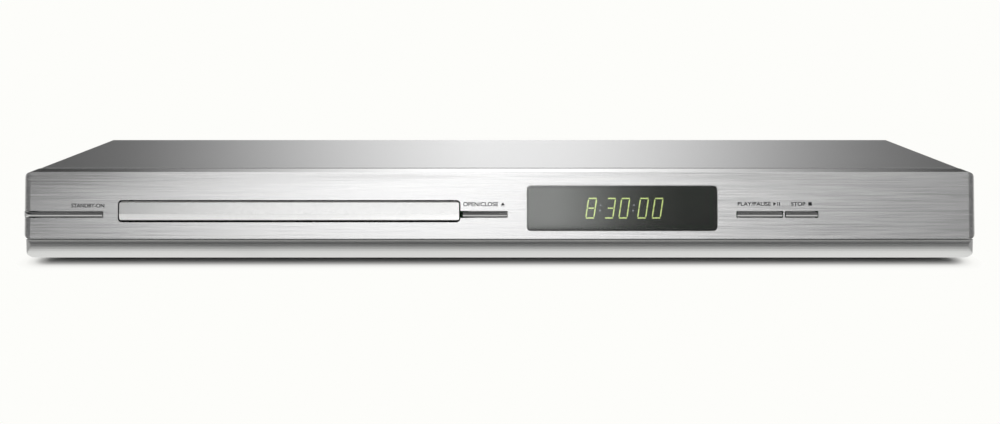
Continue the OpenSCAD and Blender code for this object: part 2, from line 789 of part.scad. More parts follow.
// Switch bodies on the front board, each with a well for its plunger
module tact_switches() {
    color(black) for (x = stem_x) difference() {
        block([x - switch_size / 2, switch_y0(), key_z - switch_size / 2],
              [x + switch_size / 2, board_y, key_z + switch_size / 2]);
        rod_y(x, key_z, switch_y0() - 1, switch_y0() + 2, plunger_r + shaft_fit);
    }
}

module plunger(i) {
    color(ivory) rod_y(stem_x[i], key_z, switch_y0() - plunger_t + 1.2, switch_y0() + 1.2, plunger_r);
}

// ---------------------------------------------------------------- tray

// Places what is drawn round the middle of the tray
module in_loader() {
    translate([tray_x, 0, 0]) children();
}

module disc_tray() {
    half = tray_w / 2;
    arm_x = 44;
    color("#4b4d50") in_loader() difference() {
        union() {
            block([-half, tray_y0, tray_z], [half, disc_y + recess_r + 8, tray_top]);
            for (s = [-1, 1]) block([min(s * arm_x, s * half), disc_y, tray_z],
                                    [max(s * arm_x, s * half), arm_y1, tray_top - 1]);
            // tooth rail under the right side
            translate([rack_x, 0, tray_z - rack_h]) linear_extrude(rack_h + 1)
                polygon(rack_points(gear_m, rack_y0, rack_y1, gear_y, 4.2));
        }
        translate([0, disc_y, disc_z]) cylinder(r = recess_r, h = tray_h);
        translate([0, disc_y, mini_z]) cylinder(r = mini_r, h = tray_h);
        translate([0, disc_y, tray_z - 1]) cylinder(r = 19, h = tray_h + 2);
        block([-slot_w / 2, disc_y, tray_z - 1], [slot_w / 2, arm_y1 + 1, tray_top + 1]);
        // finger scallops in the rim
        for (a = [215, 325]) translate([0, disc_y, disc_z])
            rotate(a) translate([recess_r - 2, 0, 0]) cylinder(r = 9, h = tray_h);
        // ribbed underside round the smaller recess
        translate([0, disc_y, tray_z - 1]) difference() {
            cylinder(r = recess_r - 2, h = disc_z - tray_z - 0.6);
            cylinder(r = mini_r + 1.8, h = tray_h);
            for (i = [0:8]) rotate(i * 40 + 20) block([0, -0.7, -1], [recess_r + 3, 0.7, tray_h]);
            block([-slot_w / 2 - 1.6, 0, -1], [slot_w / 2 + 1.6, recess_r, tray_h]);
            block([rack_x - 4, -recess_r, -1], [rack_x + 20, recess_r, tray_h]);
        }
    }
}

module tray_door() {
    z0 = door_z0;
    z1 = door_z0 + door_h;
    crease = z0 + door_h * 0.36;
    color(silver) in_loader() difference() {
        union() {
            intersection() {
                along_x(-door_w / 2, door_w / 2)
                    polygon([[tray_y0, z0], [face_y(z0) + 1.1, z0], [face_y(z0) + 0.5, z0 + 0.5],
                             [face_y(crease) - 0.25, crease], [face_y(z1) - 0.1, z1 - 0.5],
                             [face_y(z1) + 0.4, z1], [tray_y0, z1]]);
                along_y(y_front - 5, tray_y0) corner_rect(-door_w / 2, door_w / 2, z0, z1, 1.4, 1.4);
            }
            // hooks that clip over the front edge of the tray
            for (s = [-1, 1]) block([s * 50 - 5, tray_y0 - 1, tray_z - 1.2],
                                    [s * 50 + 5, tray_y0 + 2, tray_z - fit / 2]);
        }
        along_x(-door_w / 2 + 1.6, door_w / 2 - 1.6)
            polygon([[tray_y0 + eps, z0 + 1.6], [face_y(z0) + 3, z0 + 1.6], [face_y(z1) + 2, z1 - 1.6],
                     [tray_y0 + eps, z1 - 1.6]]);
    }
    // posts behind the door that meet the tray
    color(silver) in_loader() for (x = [-45, -15, 15, 45])
        block([x - 1, face_y(tray_z + 2) + 1.8, tray_z + 1], [x + 1, tray_y0, tray_top - 1]);
}

// ---------------------------------------------------------------- loader

module gear_posts() {
    for (x = [tray_gear_x, pulley_x]) translate([x, gear_y, deck_z]) {
        cylinder(r = post_r, h = pulley_top - deck_z - 0.6);
        cylinder(r = 3.6, h = deck_t + 0.4);
    }
}

// Front deck, which carries the motor and the gears, and rear cross member, both between the walls
module loader_frame() {
    inner = frame_w / 2 - frame_wall;
    color("#2b2d30") in_loader() difference() {
        union() {
            block([-inner, frame_y0, deck_z], [inner, deck_y1, deck_z + deck_t]);
            block([-inner, frame_y0, deck_z], [inner, frame_y0 + 1.8, wheel_z - 0.6]);
            // guide of the cam slider
            block([-inner, cam_y - 5, frame_z0], [cam_x1 + 6, cam_y + 3, cam_z0 + 1]);
            gear_posts();
            // cup that holds the loading motor from below
            translate([motor_x, motor_y, 0]) cup();
            // rear cross member
            block([-inner, pivot_y + 5, frame_z0], [inner, frame_y1, frame_z0 + 3]);
            block([-inner, frame_y1 - 1.8, frame_z0], [inner, frame_y1, bridge_z - 4]);
        }
        translate([motor_x, motor_y, frame_z0 - 5])
            cylinder(r = motor_d / 2 + fit, h = motor_top - frame_z0 + 5 + fit / 2);
        translate([motor_x, motor_y, motor_top - 1]) cylinder(r = 3.4, h = 4);
        for (s = [-1, 1]) translate([motor_x + s * 8, motor_y, motor_top - 1]) cylinder(r = 1.05, h = 4);
        block([-inner - 1, cam_y - cam_plate_t / 2 - rest_gap, cam_z0 - rest_gap],
              [cam_x1 + 7, cam_y + cam_plate_t / 2 + rest_gap, cam_z0 + 3]);
    }
}

// Side walls of the loader
module loader_walls() {
    half = frame_w / 2;
    color("#2b2d30") in_loader() for (s = [-1, 1])
        block([min(s * (half - frame_wall), s * half), frame_y0, frame_z0],
              [max(s * (half - frame_wall), s * half), frame_y1, bridge_z]);
}

// On the walls: rails under the tray's edges, guides beside it, tabs over it, posts for the bridge
module loader_rails() {
    inner = frame_w / 2 - frame_wall;
    rail_x = tray_w / 2 - 4;
    guide_x = tray_w / 2 + rest_gap;
    color("#2b2d30") in_loader() difference() {
        union() {
            for (s = [-1, 1]) {
                block([min(s * rail_x, s * inner), frame_y0, tray_z - rest_gap - 2],
                      [max(s * rail_x, s * inner), pivot_y - 5, tray_z - rest_gap]);
                block([min(s * guide_x, s * inner), frame_y0, tray_z - 1],
                      [max(s * guide_x, s * inner), pivot_y - 5, tray_z + 1.5]);
                for (y = [frame_y0 + 2, disc_y + 36])
                    block([min(s * (rail_x + 1), s * inner), y, tray_top + rest_gap],
                          [max(s * (rail_x + 1), s * inner), y + 16, tray_top + rest_gap + 1.6]);
            }
            for (p = bridge_screws()) translate([p[0], p[1], tray_z])
                cylinder(r = 2.8, h = bridge_z - tray_z);
        }
        for (s = [-1, 1]) block([min(s * inner, s * (inner + 4)), frame_y0, tray_z],
                                [max(s * inner, s * (inner + 4)), frame_y1, bridge_z + 1]);
        for (p = bridge_screws()) translate([p[0], p[1], bridge_z - 6]) cylinder(r = 1.05, h = 8);
    }
}

// Lugs that are screwed to the chassis, and the bearings of the pickup deck
module loader_mounts() {
    half = frame_w / 2;
    inner = half - frame_wall;
    pivot_x = trav_w / 2 + 4;
    color("#2b2d30") in_loader() difference() {
        union() {
            for (s = [-1, 1], y = lug_y)
                block([min(s * half, s * (half + 4)), y - 4, frame_z0],
                      [max(s * half, s * (half + 4)), y + 4, frame_z0 + 2.5]);
            for (p = loader_lugs) translate([p[0] - tray_x, p[1], frame_z0]) cylinder(r = 4, h = 2.5);
            for (s = [-1, 1])
                block([min(s * pivot_x, s * inner), pivot_y - 5, frame_z0],
                      [max(s * pivot_x, s * inner), pivot_y + 5, pivot_z + 4.5]);
        }
        for (s = [-1, 1]) rod_x_axis(pivot_y, pivot_z, min(s * (pivot_x - 1), s * (pivot_x + 7)),
                                     max(s * (pivot_x - 1), s * (pivot_x + 7)), pivot_r + shaft_fit);
        for (p = loader_lugs) translate([p[0] - tray_x, p[1], frame_z0 - 1])
            cylinder(r = screw_r + 0.05, h = 5);
    }
}

module cup() {
    translate([0, 0, deck_z]) cylinder(r = motor_d / 2 + cup_t + fit, h = motor_top + cup_t - deck_z);
}

function bridge_screws() = [for (s = [-1, 1], y = [-10, 10]) [s * (tray_w / 2 + 6), disc_y + y]];

// Steel bridge across the frame that holds the clamper over the disc
module clamper_bridge() {
    half = frame_w / 2;
    color(steel) in_loader() difference() {
        union() {
            block([-half, disc_y - 19, bridge_z], [half, disc_y + 19, bridge_z + bridge_t]);
            for (s = [-1, 1]) block([-half + 8, disc_y + s * 19 - 0.5, bridge_z],
                                    [half - 8, disc_y + s * 19 + 0.5, bridge_z + 4]);
        }
        translate([0, disc_y, bridge_z - 1]) cylinder(r = puck_r + 1, h = 4);
        for (s = [-1, 1], y = [-10, 10]) translate([s * 40, disc_y + y * 0.9, bridge_z - 1])
            cylinder(r = 4, h = 4);
        for (p = bridge_screws()) translate([p[0], p[1], bridge_z - 1]) cylinder(r = 1.3, h = 4);
    }
}

module clamper_puck() {
    flange_z = bridge_z + bridge_t + rest_gap;
    color("#d8d6cf") in_loader() translate([0, disc_y, 0]) rotate_extrude()
        polygon([[8.4, puck_z], [puck_r - 1.2, puck_z], [puck_r, puck_z + 1.2], [puck_r, flange_z],
                 [puck_r + 3.4, flange_z], [puck_r + 3.4, flange_z + 1.2], [12.6, flange_z + 1.2],
                 [12.6, flange_z + 3.2], [11.4, flange_z + 3.2], [11.4, flange_z + 0.2],
                 [7.4, flange_z + 0.2], [7.4, flange_z - 1.2], [8.4, flange_z - 2.2]]);
}

// Ring magnet that lies in the clamper
module clamp_magnet() {
    z = bridge_z + bridge_t + rest_gap + 0.2;
    color("#55585c") in_loader() translate([0, disc_y, 0]) tube(11.2, 5.5, z, z + 2.6);
}

module loading_motor() {
    color(steel) in_loader() translate([motor_x, motor_y, motor_top - motor_h]) {
        rotate_extrude() polygon([[0, 0.8], [3, 0.8], [3, 0], [motor_d / 2 - 1, 0], [motor_d / 2, 1],
                                  [motor_d / 2, motor_h - 1], [motor_d / 2 - 1, motor_h], [3.1, motor_h],
                                  [3.1, motor_h + 1.2], [0, motor_h + 1.2]]);
        cylinder(r = 1, h = pulley_top - motor_top + motor_h - 0.2);
    }
}

// Pulley outline: a grooved rim between two flanges
function rim_points(bore, r, z0, z1) =
    let (mid = (z0 + z1) / 2)
    [[bore, z0], [r + 0.8, z0], [r + 0.8, z0 + 0.1], [r, mid - 0.7], [r, mid + 0.7],
     [r + 0.8, z1 - 0.1], [r + 0.8, z1], [bore, z1]];

module motor_pulley() {
    color(ivory) in_loader() translate([motor_x, motor_y, 0])
        rotate_extrude() polygon(rim_points(1 + shaft_fit, motor_pulley_r, belt_z - 0.9, belt_z + 0.9));
}

module pulley_gear() {
    color(ivory) in_loader() translate([pulley_x, gear_y, 0]) difference() {
        union() {
            translate([0, 0, hub_z]) cylinder(r = 3, h = pulley_top - hub_z);
            translate([0, 0, wheel_z - 0.4]) linear_extrude(pulley_z - wheel_z + 0.6)
                rotate(180 / pinion_teeth) polygon(gear_points(gear_m, pinion_teeth));
            rotate_extrude() polygon(rim_points(2, pulley_r, pulley_z, pulley_top));
        }
        translate([0, 0, deck_z]) cylinder(r = post_r + shaft_fit, h = 20);
        // lightening holes in the web
        for (i = [0:4]) rotate(i * 72) translate([7.6, 0, pulley_z - 1]) cylinder(r = 1.7, h = 6);
    }
}

module tray_gear() {
    color(ivory) in_loader() translate([tray_gear_x, gear_y, 0]) difference() {
        union() {
            translate([0, 0, hub_z]) cylinder(r = 3, h = gear_top - hub_z);
            translate([0, 0, wheel_z]) linear_extrude(wheel_t)
                rotate(180) polygon(gear_points(gear_m, wheel_teeth));
            translate([0, 0, wheel_z + wheel_t - eps]) linear_extrude(gear_top - wheel_z - wheel_t)
                polygon(gear_points(gear_m, tray_gear_teeth));
        }
        translate([0, 0, deck_z]) cylinder(r = post_r + shaft_fit, h = 20);
        for (i = [0:5]) rotate(i * 60 + 30) translate([wheel_r - 4, 0, wheel_z - 1])
            cylinder(r = 1.6, h = wheel_t + 2);
    }
}

// Belt round the pulley and the motor pulley: two arcs joined by tangents
module drive_belt() {
    span = pulley_x - motor_x;
    rise = gear_y - motor_y;
    reach = sqrt(span * span + rise * rise);
    turn = atan2(rise, span);
    inner = 0.16;
    wrap = asin((pulley_r - motor_pulley_r) / reach);
    color("#1c1c1c") in_loader() translate([motor_x, motor_y, belt_z - belt_t / 2]) rotate(turn)
        linear_extrude(belt_t) difference() {
            polygon(concat(arc(reach, 0, pulley_r + inner + belt_t, -90 - wrap, 90 + wrap, 24),
                           arc(0, 0, motor_pulley_r + inner + belt_t, 90 + wrap, 270 - wrap, 10)));
            polygon(concat(arc(reach, 0, pulley_r + inner, -90 - wrap, 90 + wrap, 24),
                           arc(0, 0, motor_pulley_r + inner, 90 + wrap, 270 - wrap, 10)));
        }
}

// Slider whose sloping slots lift the front of the pickup deck
module cam_slider() {
    color(ivory) in_loader() difference() {
        union() {
            block([cam_x0, cam_y - cam_plate_t / 2, cam_z0], [cam_x1, cam_y + cam_plate_t / 2, cam_z1]);
            block([cam_x0, cam_y - cam_plate_t / 2, cam_z1 - 1.2], [cam_x0 + 16, cam_y + 4, cam_z1]);
        }
        along_y(cam_y - 4, cam_y + 4) for (x = cam_pin_x)
            polygon(slot_points([x - 0.2, cam_pin_z + 0.1],
                                [x + cam_travel + 0.2, cam_pin_z - cam_drop - 0.1], cam_slot_r, 10));
    }
}

// ---------------------------------------------------------------- pickup deck

module traverse_frame() {
    half = trav_w / 2;
    color("#3a3d42") in_loader() difference() {
        union() {
            block([-half, trav_y0, trav_z], [half, trav_y1, trav_top]);
            // raised rims, which stay clear of the tray's tooth rail
            block([-half, trav_y0, trav_z], [2 - half, trav_y1, trav_top + 2]);
            block([-half, trav_y0, trav_z], [half - 4, trav_y0 + 2, trav_top + 2]);
            // lifting pins at the front
            for (x = cam_pin_x) {
                rod_y(x, cam_pin_z, cam_y - 2, trav_y0 + 2, cam_pin_r);
                rod_y(x, cam_pin_z, trav_y0 - 1.5, trav_y0 + 2, cam_pin_r + 1);
            }
            // pegs that hold the spindle motor's plate
            for (s = [-1, 1]) translate([s * (rotor_r + 5), disc_y - 4, trav_top - 1])
                cylinder(r = 1, h = 2.8);
            // pivots at the back
            for (s = [-1, 1]) rod_x_axis(pivot_y, pivot_z, min(s * (half - 6), s * (half + 9)),
                                         max(s * (half - 6), s * (half + 9)), pivot_r);
            // seats of the guide rods
            for (s = [-1, 1], y = [[rod_y0 - 3, rod_y0 + 1.8], [rod_y1 - 1.8, rod_y1 + 3]])
                block([s * rod_x - 2.6, y[0], trav_top - 1], [s * rod_x + 2.6, y[1], rod_z + rod_r + 1.1]);
            // pin that carries the feed gear
            translate([feed_x, feed_y, trav_top - 1]) {
                cylinder(r = 1.2, h = feed_rack_z1 - trav_top + 0.8);
                cylinder(r = 2.4, h = 1.7);
            }
        }
        block([-window_x1, rod_y0 + 1.8, trav_z - 1], [window_x1, rod_y1 - 1.8, trav_top + 5]);
        translate([0, disc_y, trav_z - 1]) cylinder(r = rotor_r + 1, h = 10);
        for (s = [-1, 1]) rod_y(s * rod_x, rod_z, rod_y0 - fit / 2, rod_y1 + fit / 2, rod_r + 0.05);
        translate([sled_x, sled_y, trav_z - 1]) cylinder(r = 6.5 + fit, h = trav_t + 2);
        // round relief behind the wheel of the tray gear
        translate([tray_gear_x, gear_y, trav_z - 1]) cylinder(r = wheel_r + 4, h = trav_t + 4);
    }
}

// Flat motor under the turntable, with its mounting plate
module spindle_motor() {
    color(steel) in_loader() translate([0, disc_y, 0]) difference() {
        union() {
            block([-rotor_r - 8, -11, trav_top], [rotor_r + 8, rotor_r - 3, trav_top + 1]);
            translate([0, 0, trav_z - 2]) cylinder(r = rotor_r, h = trav_top + 1 - trav_z + 2);
            translate([0, 0, trav_top]) cylinder(r = 4, h = 2.2);
        }
        translate([0, 0, trav_z + 1]) cylinder(r = 1.5 + shaft_fit, h = 20);
        for (s = [-1, 1]) translate([s * (rotor_r + 5), -4, trav_top - 1]) cylinder(r = 1.05, h = 6);
    }
}

module turntable() {
    rotor_z = trav_top + 1.4;
    color("#26282b") in_loader() translate([0, disc_y, 0]) {
        rotate_extrude()
            polygon([[0, trav_z + 1.4], [1.5, trav_z + 1.4], [1.5, rotor_z + 2], [4.6, rotor_z + 2],
                     [4.6, rotor_z], [rotor_r, rotor_z], [rotor_r, seat_z - 2.2], [table_r, seat_z - 2],
                     [table_r, seat_z], [hub_r + 0.6, seat_z], [hub_r, seat_z + 0.3],
                     [hub_r, seat_z + 1.5], [hub_r - 2.2, seat_z + 2.8], [3, seat_z + 2.8],
                     [2.6, seat_z + 2.2], [0, seat_z + 2.2]]);
    }
}

module guide_rods() {
    color("#d6d9dc") in_loader() for (s = [-1, 1]) rod_y(s * rod_x, rod_z, rod_y0, rod_y1, rod_r);
}

module sled_motor() {
    color(steel) in_loader() translate([sled_x, sled_y, 0]) {
        translate([0, 0, trav_top - 5.6]) cylinder(r = 6.5, h = 5.8);
        translate([0, 0, trav_top]) cylinder(r = 7.4, h = 0.6);
        translate([0, 0, trav_top]) cylinder(r = 0.75, h = 3.8);
    }
}

// Optical head that slides on the rods
module pickup_body() {
    half = pickup_w / 2;
    bush_r = rod_r + 1.6;
    color("#5a5d61") in_loader() difference() {
        union() {
            block([-half, pickup_y0 + 6, pickup_z0], [half, pickup_y1, pickup_top - 2]);
            block([-13, pickup_y0, pickup_z0 + 2], [13, pickup_y1 - 8, pickup_top]);
            // bush on the main rod
            rod_y(-rod_x, rod_z, pickup_y0 + 6, pickup_y1, bush_r);
            block([-rod_x, pickup_y0 + 6, rod_z - 2], [-half + 1, pickup_y1, rod_z + 2]);
            // fork on the second rod
            block([half - 1, pickup_y0 + 10, rod_z - 4], [rod_x + 3, pickup_y0 + 20, rod_z + 2.9]);
        }
        rod_y(-rod_x, rod_z, pickup_y0 - 1, pickup_y1 + 1, rod_r + shaft_fit);
        block([half, pickup_y0 + 9, rod_z - rod_r - 0.1], [rod_x + 4, pickup_y0 + 21, rod_z + rod_r + 0.1]);
        // well of the lens actuator
        block([-7, lens_y - 6, pickup_top - 2.2], [7, lens_y + 6, pickup_top + 1]);
        // laser and detector wells at the back
        block([-half + 4, pickup_y1 - 7, pickup_z0 + 2], [-half + 12, pickup_y1 + 1, pickup_top]);
        translate([6, pickup_y1 - 4, pickup_z0 + 3]) rotate([-90, 0, 0]) cylinder(r = 2.8, h = 6);
    }
}

// Toothed strip screwed to the fork side of the pickup
module sled_rack() {
    y0 = feed_y - pickup_travel - 4;
    y1 = feed_y + 4.5;
    color(ivory) in_loader() {
        translate([feed_rack_x, 0, feed_rack_z0]) mirror([1, 0, 0])
            linear_extrude(feed_rack_z1 - feed_rack_z0)
            polygon(rack_points(feed_m, y0, y1, feed_y, 2.4));
        block([rod_x + 3, pickup_y0 + 10, feed_rack_z0], [feed_rack_x - 2.3, pickup_y0 + 20, feed_rack_z1]);
    }
}

module feed_gear() {
    wheel_z0 = trav_top + 1;
    color(ivory) in_loader() translate([feed_x, feed_y, 0]) difference() {
        union() {
            translate([0, 0, wheel_z0]) linear_extrude(1)
                rotate(sled_dir) polygon(gear_points(feed_m, feed_wheel_teeth, 25, 0.12));
            translate([0, 0, wheel_z0 + 0.9]) linear_extrude(feed_rack_z1 - wheel_z0 - 0.9)
                rotate(180) polygon(gear_points(feed_m, feed_teeth, 25, 0.14));
        }
        translate([0, 0, trav_top]) cylinder(r = 1.2 + shaft_fit, h = 12);
    }
}

module sled_pinion() {
    color("#c9a24a") in_loader() translate([sled_x, sled_y, 0]) difference() {
        translate([0, 0, trav_top + 1]) linear_extrude(1.1)
            rotate(sled_dir + 180 + 180 / sled_teeth) polygon(gear_points(feed_m, sled_teeth, 25, 0.12));
        translate([0, 0, trav_top]) cylinder(r = 0.75 + shaft_fit, h = 8);
    }
}

// Lens and its holder, which floats in the actuator well
module objective_lens() {
    top = pickup_top + 1.3;
    color("#6f7fa8") in_loader() translate([0, lens_y, 0]) difference() {
        union() {
            block([-6.4, -5.4, pickup_top - 1.2], [6.4, 5.4, top - 0.5]);
            translate([0, 0, top - 0.6]) cylinder(r = 3.6, h = 0.6);
            translate([0, 0, top]) rotate_extrude()
                polygon(concat([[0, -0.4]], arc(0, -3.6, 4.4, 52, 90, 6)));
        }
        for (s = [-1, 1]) block([s * 5.2 - 0.6, -2.5, pickup_top - 2], [s * 5.2 + 0.6, 2.5, top]);
    }
}

// ---------------------------------------------------------------- boards

module board(bx, by) {
    difference() {
        block([bx[0], by[0], rear_board_z], [bx[1], by[1], rear_board_top]);
        for (p = board_posts(bx, by)) translate([p[0], p[1], rear_board_z - 1])
            cylinder(r = screw_r + 0.05, h = 4);
    }
}

module main_board() {
    color(board_green) board(main_board_x, main_board_y);
}

module power_board() {
    color("#8a6a3a") board(power_board_x, power_board_y);
}

// Packages on the main board: [x, y, width, depth, height] from the board's front left corner
main_packages = [[46, 46, 24, 24, 2.2], [20, 40, 18, 8, 1.6], [20, 54, 18, 8, 1.6], [84, 44, 12, 12, 1.8],
                 [84, 62, 10, 7, 1.5], [28, 74, 9, 12, 1.8], [52, 14, 20, 6, 5], [4, 22, 6, 20, 5]];

module main_chips() {
    color(black) for (c = main_packages)
        translate([main_board_x[0] + c[0], main_board_y[0] + c[1], rear_board_top])
            block([-c[2] / 2, -c[3] / 2, 0], [c[2] / 2, c[3] / 2, c[4]]);
}

module chip_heatsink() {
    c = main_packages[0];
    color("#2f3134") translate([main_board_x[0] + c[0], main_board_y[0] + c[1], rear_board_top + c[4]]) {
        block([-c[2] / 2, -c[3] / 2, 0], [c[2] / 2, c[3] / 2, 1.6]);
        for (i = [0:6]) block([-c[2] / 2 + i * 3.78, -c[3] / 2, 1.5],
                              [-c[2] / 2 + i * 3.78 + 1.3, c[3] / 2, 8]);
    }
}

module transformer() {
    x = power_board_x[0] + 23;
    y = power_board_y[0] + 62;
    color("#d6b23c") translate([x, y, rear_board_top]) {
        // coil former, wound coil and ferrite core
        block([-14, -12, 0], [14, 12, 3]);
        block([-11, -12, 3 - eps], [11, 12, 19]);
        block([-16, -6, 4], [16, 6, 18]);
        block([-14, -12, 18], [14, 12, 20]);
    }
}

// [x, y, radius, height] from the power board's front left corner
capacitor_sites = [[49, 66, 9, 26], [47, 86, 5, 18], [12, 38, 5, 18], [26, 36, 4, 14], [38, 38, 4, 14]];

module power_capacitors() {
    color("#28324a") for (c = capacitor_sites)
        translate([power_board_x[0] + c[0], power_board_y[0] + c[1], rear_board_top])
            rotate_extrude()
                polygon([[0, 0], [c[2] - 0.5, 0], [c[2] - 0.5, 2], [c[2] - 1, 2.5], [c[2] - 0.5, 3],
                         [c[2], 3.2], [c[2], c[3] - 0.8], [c[2] - 0.8, c[3]], [0, c[3]]]);
}

module power_heatsink() {
    x = power_board_x[0] + 21;
    y = power_board_y[0] + 86;
    color("#9fa3a6") translate([x, y, rear_board_top]) {
        block([-16, -1, 0], [16, 1, 24]);
        for (i = [0:5]) block([-16 + i * 6.1, 0, 0], [-16 + i * 6.1 + 1.5, 8, 24]);
    }
    color(black) translate([x, y - 1, rear_board_top]) block([-5, -4.6, 4], [5, 0, 19]);
}

// All screws: of the cover, the boards and the loader
module screws() {
    cover_screws();
    color(steel) {
        for (p = concat(board_posts(main_board_x, main_board_y), board_posts(power_board_x, power_board_y)))
            translate([p[0], p[1], rear_board_top]) screw(screw_r, 5);
        for (p = front_board_posts())
            translate([p[0], board_y + board_t, p[1]]) rotate([-90, 0, 0]) screw(screw_r, 5);
        for (p = loader_lugs) translate([p[0], p[1], frame_z0 + 2.5]) screw(screw_r, 4.5);
        in_loader() for (p = bridge_screws()) translate([p[0], p[1], bridge_z + bridge_t])
            screw(1, 5, 2.2, 1.4);
        in_loader() for (s = [-1, 1]) translate([motor_x + s * 8, motor_y, motor_top + cup_t])
            screw(1, cup_t - 0.1, 1.6, 0.4);
    }
}

// ---------------------------------------------------------------- sockets

// Figure-of-eight recess of the mains inlet, drawn in X and Z
module inlet_recess() {
    polygon(slot_points([-inlet_pitch / 2, 0], [inlet_pitch / 2, 0], 3.9, 10));
}

module mains_inlet() {
    color(black) translate([inlet_x, 0, inlet_z]) difference() {
        union() {
            along_y(y_rear - inlet_depth - 4, y_rear + 1) translate([-inlet_w / 2, -inlet_h / 2])
                square([inlet_w, inlet_h]);
            along_y(y_rear - sheet_t - 2, y_rear - sheet_t) translate([-inlet_w / 2 - 3, -inlet_h / 2])
                square([inlet_w + 6, inlet_h]);
            block([-inlet_w / 2, y_rear - inlet_depth - 4, rear_board_top - inlet_z],
                  [inlet_w / 2, y_rear - 6, 0]);
        }
        along_y(y_rear + 1 - inlet_depth, y_rear + 2) inlet_recess();
        for (s = [-1, 1]) rod_y(s * inlet_pitch / 2, 0, y_rear - inlet_depth - 5, y_rear, 1.2);
    }
}

module inlet_pins() {
    color("#d9dadb") translate([inlet_x, 0, inlet_z]) for (s = [-1, 1])
        rod_y(s * inlet_pitch / 2, 0, y_rear - inlet_depth - 4, y_rear - 1.5, 1.2);
}

// Black body that carries the jacks on the main board
module jack_block() {
    y1 = y_rear - sheet_t - fit;
    color(black) difference() {
        union() {
            block([jack_x[0] - jack_pitch / 2, y1 - 12, rear_board_top],
                  [jack_x[2] + jack_pitch / 2, y1, jack_z[1] + jack_collar_r + 1.4]);
            block([coax_x - 6, y1 - 12, rear_board_top], [coax_x + 6, y1, jack_z[1] + jack_collar_r + 1.4]);
        }
        for (p = jack_sites) rod_y(p[0], p[1], y1 - 9, y1 + 1, jack_collar_r + 0.05);
    }
}

module jack_shells() {
    color("#d9dadb") for (p = jack_sites) difference() {
        union() {
            rod_y(p[0], p[1], y_rear + jack_collar_t, y_tip, jack_r);
            rod_y(p[0], p[1], y_rear - 6, y_rear + jack_collar_t, jack_root_r);
        }
        rod_y(p[0], p[1], y_rear - 7, y_tip + 1, jack_r - jack_shell_t);
    }
}

// Coloured insert of each jack: a collar round the shell and a core inside it
module jack_inserts() {
    y0 = y_rear - sheet_t - fit - 9;
    color("#c8b53a") for (p = jack_sites) difference() {
        union() {
            rod_y(p[0], p[1], y0, y_rear + jack_collar_t, jack_collar_r);
            rod_y(p[0], p[1], y_rear, y_tip - 1, jack_r - jack_shell_t - 0.02);
        }
        difference() {
            rod_y(p[0], p[1], y_rear - 6, y_rear + 3, jack_root_r + 0.02);
            rod_y(p[0], p[1], y_rear - 7, y_rear + 4, jack_r - jack_shell_t - 0.02);
        }
        rod_y(p[0], p[1], y_rear - 4, y_tip + 1, jack_core_r);
    }
}

// Multi-pin socket: slanted metal shell round a block with two rows of contact slots
module scart_socket() {
    w = scart_w;
    h = scart_h;
    y1 = y_rear + 5;
    outline = [[-w / 2, -h / 2], [w / 2 - 7, -h / 2], [w / 2, -h / 2 + 5], [w / 2, h / 2], [-w / 2, h / 2]];
    inner = [for (p = outline) [p[0] - sign(p[0]) * 1, p[1] - sign(p[1]) * 1]];
    core = [for (p = outline) [p[0] - sign(p[0]) * 3.4, p[1] - sign(p[1]) * 2.6]];
    color(black) translate([scart_x, 0, scart_z]) difference() {
        union() {
            along_y(y_rear - 10, y1) polygon(outline);
            along_y(y_rear - sheet_t - 2.2, y_rear - sheet_t) translate([-w / 2 - 4, -h / 2])
                square([w + 8, h]);
            block([-w / 2 + 2, y_rear - 10, rear_board_top - scart_z], [w / 2 - 8, y_rear - 3, 0]);
        }
        along_y(y_rear - 6, y1 + 1) difference() {
            polygon(inner);
            polygon(core);
        }
        for (i = [0:9], k = [-1, 1])
            block([-w / 2 + 5.2 + i * 3.5 + k * 0.7, y_rear - 4, k * 2 - 1.3],
                  [-w / 2 + 6.2 + i * 3.5 + k * 0.7, y1 + 1, k * 2 + 1.3]);
    }
}

// ---------------------------------------------------------------- wiring

// Outline of a flat ribbon along points, drawn in Y and Z
function ribbon_points(path, t) =
    concat(path, [for (i = [len(path) - 1:-1:0]) [path[i][0], path[i][1] + t]]);

// Ribbon from the front board to the main board
module ribbons() {
    x = main_board_x[0] + 50;
    y = main_board_y[0] + 22;
    y_f = board_y + board_t;
    color(ivory) along_x(x - 9, x + 9)
        polygon(ribbon_points([[y_f, foot_h + 8], [y_f + 6, foot_h + 7], [y_f + 12, z_floor + 0.3],
                               [main_board_y[0] - 14, z_floor + 0.3],
                               [main_board_y[0] - 5, rear_board_top + 3],
                               [main_board_y[0] + 11, rear_board_top + 4.4]], 0.5));
    // from the main board to the floor under the pickup deck
    color(ivory) along_y(y - 8, y + 8)
        polygon(ribbon_points([[main_board_x[0] + 1, rear_board_top + 2],
                               [main_board_x[0] - 1.5, rear_board_top + 2],
                               [main_board_x[0] - 3.5, z_floor + 0.3], [tray_x + 20, z_floor + 0.3]], 0.5));
}

// Wires from the power board to the main board
module power_harness() {
    x0 = main_board_x[1] - 6;
    x1 = power_board_x[0] + 6;
    y = main_board_y[0] + 30;
    z = rear_board_top;
    color("#b23a2e") for (i = [0:4]) translate([0, i * 2.2, 0])
        along_y(y - 0.7, y + 0.7)
            polygon([[x0, z], [x0, z + 6], [x0 + 2, z + 8], [x1 - 2, z + 8], [x1, z + 6], [x1, z],
                     [x1 - 1.4, z], [x1 - 1.4, z + 5.4], [x1 - 2.8, z + 6.6], [x0 + 2.8, z + 6.6],
                     [x0 + 1.4, z + 5.4], [x0 + 1.4, z]]);
}

// ---------------------------------------------------------------- nodes

